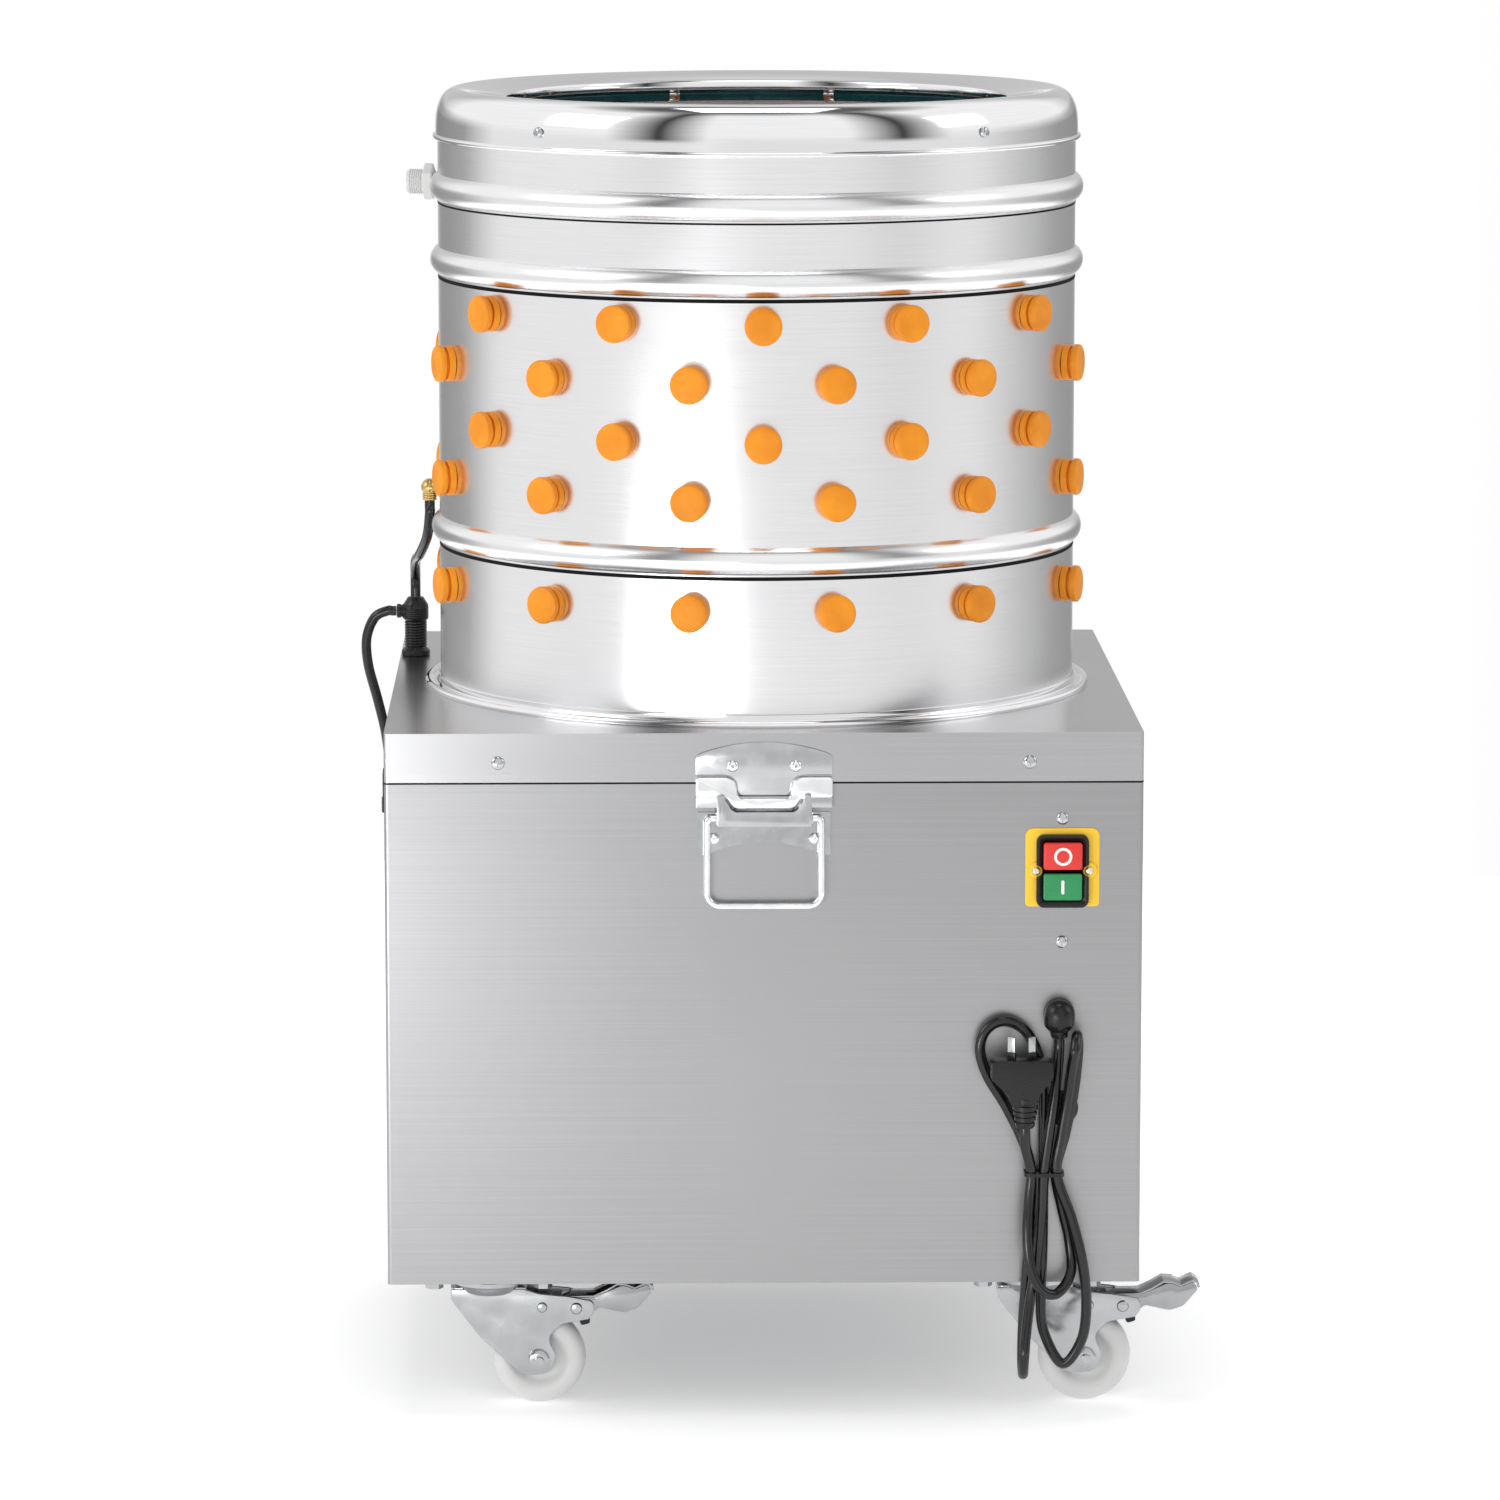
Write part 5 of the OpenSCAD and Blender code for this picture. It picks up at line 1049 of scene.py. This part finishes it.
class PLUCKER_OT_casters(bpy.types.Operator):
    """Swivel casters: pressed forks, white wheels on bolts, and pedals on the front pair"""
    bl_idname = "plucker.casters"
    bl_label = "Casters"

    def execute(self, context):
        for name, (x, y) in CASTERS.items():
            self.fork(name, x, y)
            self.wheel(name, x, y)
            if name.startswith("front"):
                self.pedal(name, x, y)
        return {"FINISHED"}

    def fork(self, name, x, y):
        pieces = []
        for s in (-1, 1):
            turn = TO_FRONT if s < 0 else TO_REAR
            side = plate(rounded(FORK_OUTLINE), FORK_T, 0.7)
            pieces.append(moved(side, (x, y + (FORK_HALF if s > 0 else FORK_T - FORK_HALF), 0)))
            for place, r in (((42.5, 81), 4.2), ((70, 80), 4.8)):
                rivet = turned([(0, -1), (r, -1), (r, 0.6), (r * 0.8, 1.8), (r * 0.4, 2.3), (0, 2.4)], 24)
                pieces.append(moved(rivet, (x + place[0], y + s * FORK_HALF, place[1]), turn))
        crown = turned([(6.1, 91), (20, 91), (24, 93), (27, 97), (30, 99.5), (30.4, 103), (28, 103.2), (26, 99),
                        (18, 97), (6.1, 97), (6.1, 91)], 48)
        pieces.append(moved(crown, (x, y, 0)))
        bridge = plate(rounded([(-31, -16, 5), (30, -16, 2), (30, 16, 2), (-31, 16, 5)]), 2.6, 0.6)
        pieces.append(moved(bridge, (x, y, 94.6), TO_REAR))
        for s in (-1, 1):
            nut = turned([(0, 0), (8.4, 0), (8.6, 0.6), (8.6, 3.6), (7.4, 4.4), (4.2, 4.5), (4.2, 6.4), (3.4, 7),
                          (0, 7)], 6 if s > 0 else 28)
            turn = TO_FRONT if s < 0 else TO_REAR
            pieces.append(moved(nut, (x + CASTER_TRAIL, y + s * FORK_HALF, WHEEL_R), turn))
        axle = turned([(0, -FORK_HALF), (4, -FORK_HALF), (4, FORK_HALF), (0, FORK_HALF)], 20)
        pieces.append(moved(axle, (x + CASTER_TRAIL, y, WHEEL_R), TO_FRONT))
        finished(joined(pieces), name + "_fork_pressing", "zinc", name + "_caster", "zinc", name + "_fork")

    def wheel(self, name, x, y):
        half = [(4.05, -14), (9.2, -14), (10, -13.2), (11.4, -9), (13.2, -7.4), (16, -7), (18.2, -7.6), (20, -9),
                (22.2, -10.8), (25, -12.1), (28, -12.5), (31, -12), (33.6, -10.4), (35.6, -8), (36.9, -5),
                (WHEEL_R, 0)]
        section = half + [(r, -h) for r, h in half[-2::-1]] + half[:1]
        tread = moved(turned(section, 72), (x + CASTER_TRAIL, y, WHEEL_R), TO_FRONT)
        finished(tread, name + "_wheel_nylon", "nylon", name + "_roller", "white_nylon", name + "_wheel")

    def pedal(self, name, x, y):
        top = [(58, 86.5), (66, 88.5), (84, 89), (94, 93.5), (103, 99), (110, 98.5), (117, 95.5), (123, 98.5),
               (127, 100), (131, 97.5), (131.5, 94)]
        sheet = drawn_line([(px, -13.6, pz) for px, pz in top])
        bpy.ops.mesh.select_all(action="SELECT")
        bpy.ops.mesh.extrude_region_move(TRANSFORM_OT_translate={"value": (0, 27.2 * MM, 0)})
        bpy.ops.object.mode_set(mode="OBJECT")
        close_up(sheet)
        modify(sheet, "SOLIDIFY", thickness=1.8 * MM, offset=0)
        round_edges(sheet, 0.5, 2)
        parts = [moved(sheet, (x, y, 0))]
        for s in (-1, 1):
            cheek = plate(rounded([(58, 86, 2), (62, 76, 5), (80, 73, 4), (88, 80, 4), (97, 78, 8), (108, 75.5, 10),
                                   (119, 79, 8), (131, 93, 3), (127, 99, 2), (117, 94.5, 8), (108, 98.5, 8),
                                   (94, 92.5, 10), (84, 88.4, 6), (66, 88, 6)]), 1.8, 0.5, 2)
            parts.append(moved(cheek, (x, y + (13.9 if s > 0 else -12.1), 0)))
        finished(joined(parts), name + "_pedal_pressing", "pedal", name + "_brake", "zinc", name + "_pedal")
        shoe = plate(rounded([(68, 78, 1), (80, 78, 1), (81, 66, 2), (74, 64, 2)]), 20, 1.2)
        moved(shoe, (x, y + 10, 0))
        finished(shoe, name + "_brake_shoe", "black", name + "_brake", "black_plastic", name + "_pedal")


INLET_ANGLE, INLET_Z, INLET_SEAT = -98, 965, 268.5
SPRAY_R, SPRAY_Z, SPRAY_TUBE = 224, 1026.5, 6
CLIP_ANGLES = (162.5, 52, -52, -162.5)
ELBOW_Z = 711
COUPLING_X, COUPLING_Y, BRANCH_Z = -287, 150, 592


def ridged(radius, depth, low, high, pitch):
    """Rounded ridges up a turned piece, between two heights."""
    line = []
    for k in range(int((high - low) / pitch)):
        z = low + k * pitch
        line += [(radius - depth, z), (radius - depth * 0.3, z + pitch * 0.2), (radius, z + pitch * 0.4),
                 (radius, z + pitch * 0.6), (radius - depth * 0.3, z + pitch * 0.8)]
    return line + [(radius - depth, high)]


class PLUCKER_OT_spray(bpy.types.Operator):
    """The spray ring under the rim, with its jets, clips and nylon inlet"""
    bl_idname = "plucker.spray"
    bl_label = "Spray ring"

    def execute(self, context):
        hoop = turned(arc(SPRAY_R, SPRAY_Z, SPRAY_TUBE, 0, 360, 24), 144)
        around = math.radians(INLET_ANGLE)
        inlet_at = (SPRAY_R * math.sin(around), -SPRAY_R * math.cos(around), 0)
        leg = turned([(0, 973), (5.95, 973), (5.95, SPRAY_Z), (0, SPRAY_Z)], 24)
        moved(leg, inlet_at)
        jet = turned([(0, 5), (1.9, 5), (1.9, 6.6), (1.3, 7.2), (0.6, 7.2), (0.6, 6), (0, 6)], 12)
        on_ring, inwards = shifted(SPRAY_R, 0, SPRAY_Z), Matrix.Rotation(math.radians(-135), 4, "Y")
        jets = copied(jet, [spun(15 * k) @ on_ring @ inwards for k in range(24)])
        finished(joined([hoop, leg, jets]), "spray_ring", "teal", "drum_unit", "teal_hose", "spray_hose")
        band = turned([(6.06, -4.5), (6.9, -4.5), (7.1, -4.2), (7.1, 4.2), (6.9, 4.5), (6.06, 4.5), (6.06, -4.5)],
                      32)
        moved(band, (0, 0, 0), TO_FRONT)
        tab = plate(rect(4.5, 5.6, 12.9, 0.5), 1.4, 0.3, 2)
        moved(tab, (1, 0, 0), Matrix.Rotation(math.pi / 2, 3, "Z"))
        pin = moved(hollow_rivet(2.6, 2), (1, 0, 9.6), TO_LEFT)
        clips = copied(joined([band, tab, pin]), [spun(a - 90) @ on_ring for a in CLIP_ANGLES])
        finished(clips, "hose_clips", "wire", "drum_unit", "stainless", "spray_clips")
        nut = turned([(4.5, 0.1), (13.9, 0.1), (15, 1.1), (15, 7.2), (13.9, 8.1), (4.5, 8.1), (4.5, 0.1)], 6)
        pipe = turned([(4.5, 22), (4.5, -40), (7, -40), (7, 7), *ridged(10.4, 1, 8, 20.6, 1.8), (9.2, 22),
                       (4.5, 22)], 36)
        ball = turned([(0, -53), *arc(0, -44.5, 8.5, -80, 80, 16), (0, -36)], 28)
        seat = on_drum(INLET_ANGLE, INLET_Z, INLET_SEAT)
        inlet = copied(joined([nut, pipe, ball]), [seat])
        cup = turned([(6.05, 969), (8, 967), (8, 980), (7.6, 981), (6.05, 981), (6.05, 969)], 28)
        moved(cup, inlet_at)
        finished(joined([inlet, cup]), "water_inlet_nylon", "nylon", "drum_unit", "white_nylon", "water_inlet")
        return {"FINISHED"}


class PLUCKER_OT_hose_fittings(bpy.types.Operator):
    """The brass elbow on the drum, the coupling on the cover and the hose's end piece"""
    bl_idname = "plucker.hose_fittings"
    bl_label = "Hose fittings"

    def execute(self, context):
        nut = turned([(0, 0.1), (8.4, 0.1), (9, 0.7), (9, 3.5), (8.4, 4.1), (0, 4.1)], 6)
        shank = turned([(0, -6), (5, -6), (5, 12), (0, 12)], 24)
        elbow = turned([(0, 5), *arc(0, 12, 7, -80, 80, 16), (0, 19)], 28)
        top = copied(joined([nut, shank, elbow]), [on_drum(INLET_ANGLE, ELBOW_Z, DRUM_R)])
        x, y, z = HOSE_TOP[0]
        leg = turned([(0, 0.4), (4.5, 0.4), *ridged(6, 0.7, 0.4, 6.4, 2), (5.5, 7), (5.5, 11.4), (0, 11.4)], 28)
        moved(leg, (x, y, z))
        finished(joined([top, leg]), "brass_elbow", "brass", "drum_unit", "brass", "hose_fitting")
        body = turned([(3.5, 0), (11.4, 0), (12, 0.6), (12, 4.4), (11.4, 5), (9.5, 7),
                       *ridged(9.5, 0.8, 8, 29.6, 2.4), (9.5, 30.4), (11, 32), *ridged(11, 0.5, 32.6, 43.4, 1.8),
                       (10.4, 44), (7, 49.4), (6.4, 50), (0, 50), (0, 30), (3.5, 30), (3.5, 0)], 40)
        moved(body, (COUPLING_X, COUPLING_Y, Z_TOP))
        branch = turned([(0, 0), (6, 0), (6, 11), (5.2, 11.4), (5.2, 12.4), (6, 12.8), (6, 15.4), (5.4, 16),
                         (0, 16)], 28)
        moved(branch, (COUPLING_X, COUPLING_Y, BRANCH_Z), TO_LEFT)
        x, y, z = HOSE_LOOP[-1]
        end = turned([(4, 0), (6, 0), (6.4, 0.6), *ridged(6.4, 0.6, 1.2, 13.2, 2), (5.4, 14), (5.4, 32), (4.9, 38),
                      (0, 38), (0, 20), (4, 18), (4, 0)], 32)
        moved(end, (x, y, z - 38.4))
        finished(end, "hose_end", "black", "drum_unit", "black_plastic", "hose_couplings")
        finished(joined([body, branch]), "hose_coupling", "black", "drum_unit", "black_plastic", "hose_couplings")
        return {"FINISHED"}


class PLUCKER_OT_belt(bpy.types.Operator):
    """The V-belt round both pulleys, its back slightly crowned"""
    bl_idname = "plucker.belt"
    bl_label = "Drive belt"

    def execute(self, context):
        big, small, apart, level = 140, 28, 205, 202
        lean = math.asin((big - small) / apart)
        section = [(-4, -3.2), (-4, 3.2), (-3.4, 3.5), (3.2, 6), (3.8, 5.7), (4, 0), (3.8, -5.7), (3.2, -6),
                   (-3.4, -3.5)]
        belt = drawn_line([((big + r) * math.cos(lean), -(big + r) * math.sin(lean), level + h)
                           for r, h in section + section[:1]])
        bpy.ops.mesh.select_all(action="SELECT")
        bpy.ops.mesh.remove_doubles(threshold=0.01 * MM)

        def run(a, b, turn):
            step = Vector((b * math.cos(turn), b * math.sin(turn) - apart, 0)) - Vector(
                (a * math.cos(turn), a * math.sin(turn), 0))
            return step * MM

        bpy.ops.mesh.spin(steps=96, angle=-math.pi - 2 * lean, center=(0, 0, 0), axis=(0, 0, 1))
        bpy.ops.mesh.extrude_region_move(TRANSFORM_OT_translate={"value": run(big, small, math.pi + lean)})
        bpy.ops.mesh.spin(steps=32, angle=2 * lean - math.pi, center=(0, -apart * MM, 0), axis=(0, 0, 1))
        bpy.ops.mesh.extrude_region_move(TRANSFORM_OT_translate={"value": -run(big, small, -lean)})
        bpy.ops.object.mode_set(mode="OBJECT")
        close_up(belt, 0.05 * MM)
        finished(belt, "v_belt", "black", "cabinet", "black_rubber", "drive_belt")
        return {"FINISHED"}


class PLUCKER_PT_panel(bpy.types.Panel):
    """The pieces in the order they are made, and their sizes and colours"""
    bl_idname = "PLUCKER_PT_panel"
    bl_label = "Plucker"
    bl_space_type = "VIEW_3D"
    bl_region_type = "UI"
    bl_category = "Plucker"

    def draw(self, context):
        for step in STEPS:
            self.layout.operator(step.bl_idname)
        for group in (sizes(), colours()):
            for name in group.bl_rna.properties.keys():
                if name not in ("rna_type", "name"):
                    self.layout.prop(group, name)


STEPS = (PLUCKER_OT_finishes, PLUCKER_OT_stage, PLUCKER_OT_drum, PLUCKER_OT_rim, PLUCKER_OT_fingers,
         PLUCKER_OT_latch, PLUCKER_OT_fasteners, PLUCKER_OT_switch, PLUCKER_OT_gland, PLUCKER_OT_plug,
         PLUCKER_OT_casters, PLUCKER_OT_spray, PLUCKER_OT_hose_fittings, PLUCKER_OT_belt, PLUCKER_OT_mains_lead,
         PLUCKER_OT_water_hose)
CLASSES = (PluckerSizes, PluckerColours, *STEPS, PLUCKER_PT_panel)


def register():
    for cls in CLASSES:
        bpy.utils.register_class(cls)
    bpy.types.Scene.plucker_sizes = bpy.props.PointerProperty(type=PluckerSizes)
    bpy.types.Scene.plucker_colours = bpy.props.PointerProperty(type=PluckerColours)


def unregister():
    del bpy.types.Scene.plucker_sizes
    del bpy.types.Scene.plucker_colours
    for cls in reversed(CLASSES):
        bpy.utils.unregister_class(cls)


def main():
    register()
    for step in STEPS:
        group, name = step.bl_idname.split(".")
        getattr(getattr(bpy.ops, group), name)()
    deselect()


if __name__ == "__main__":
    main()
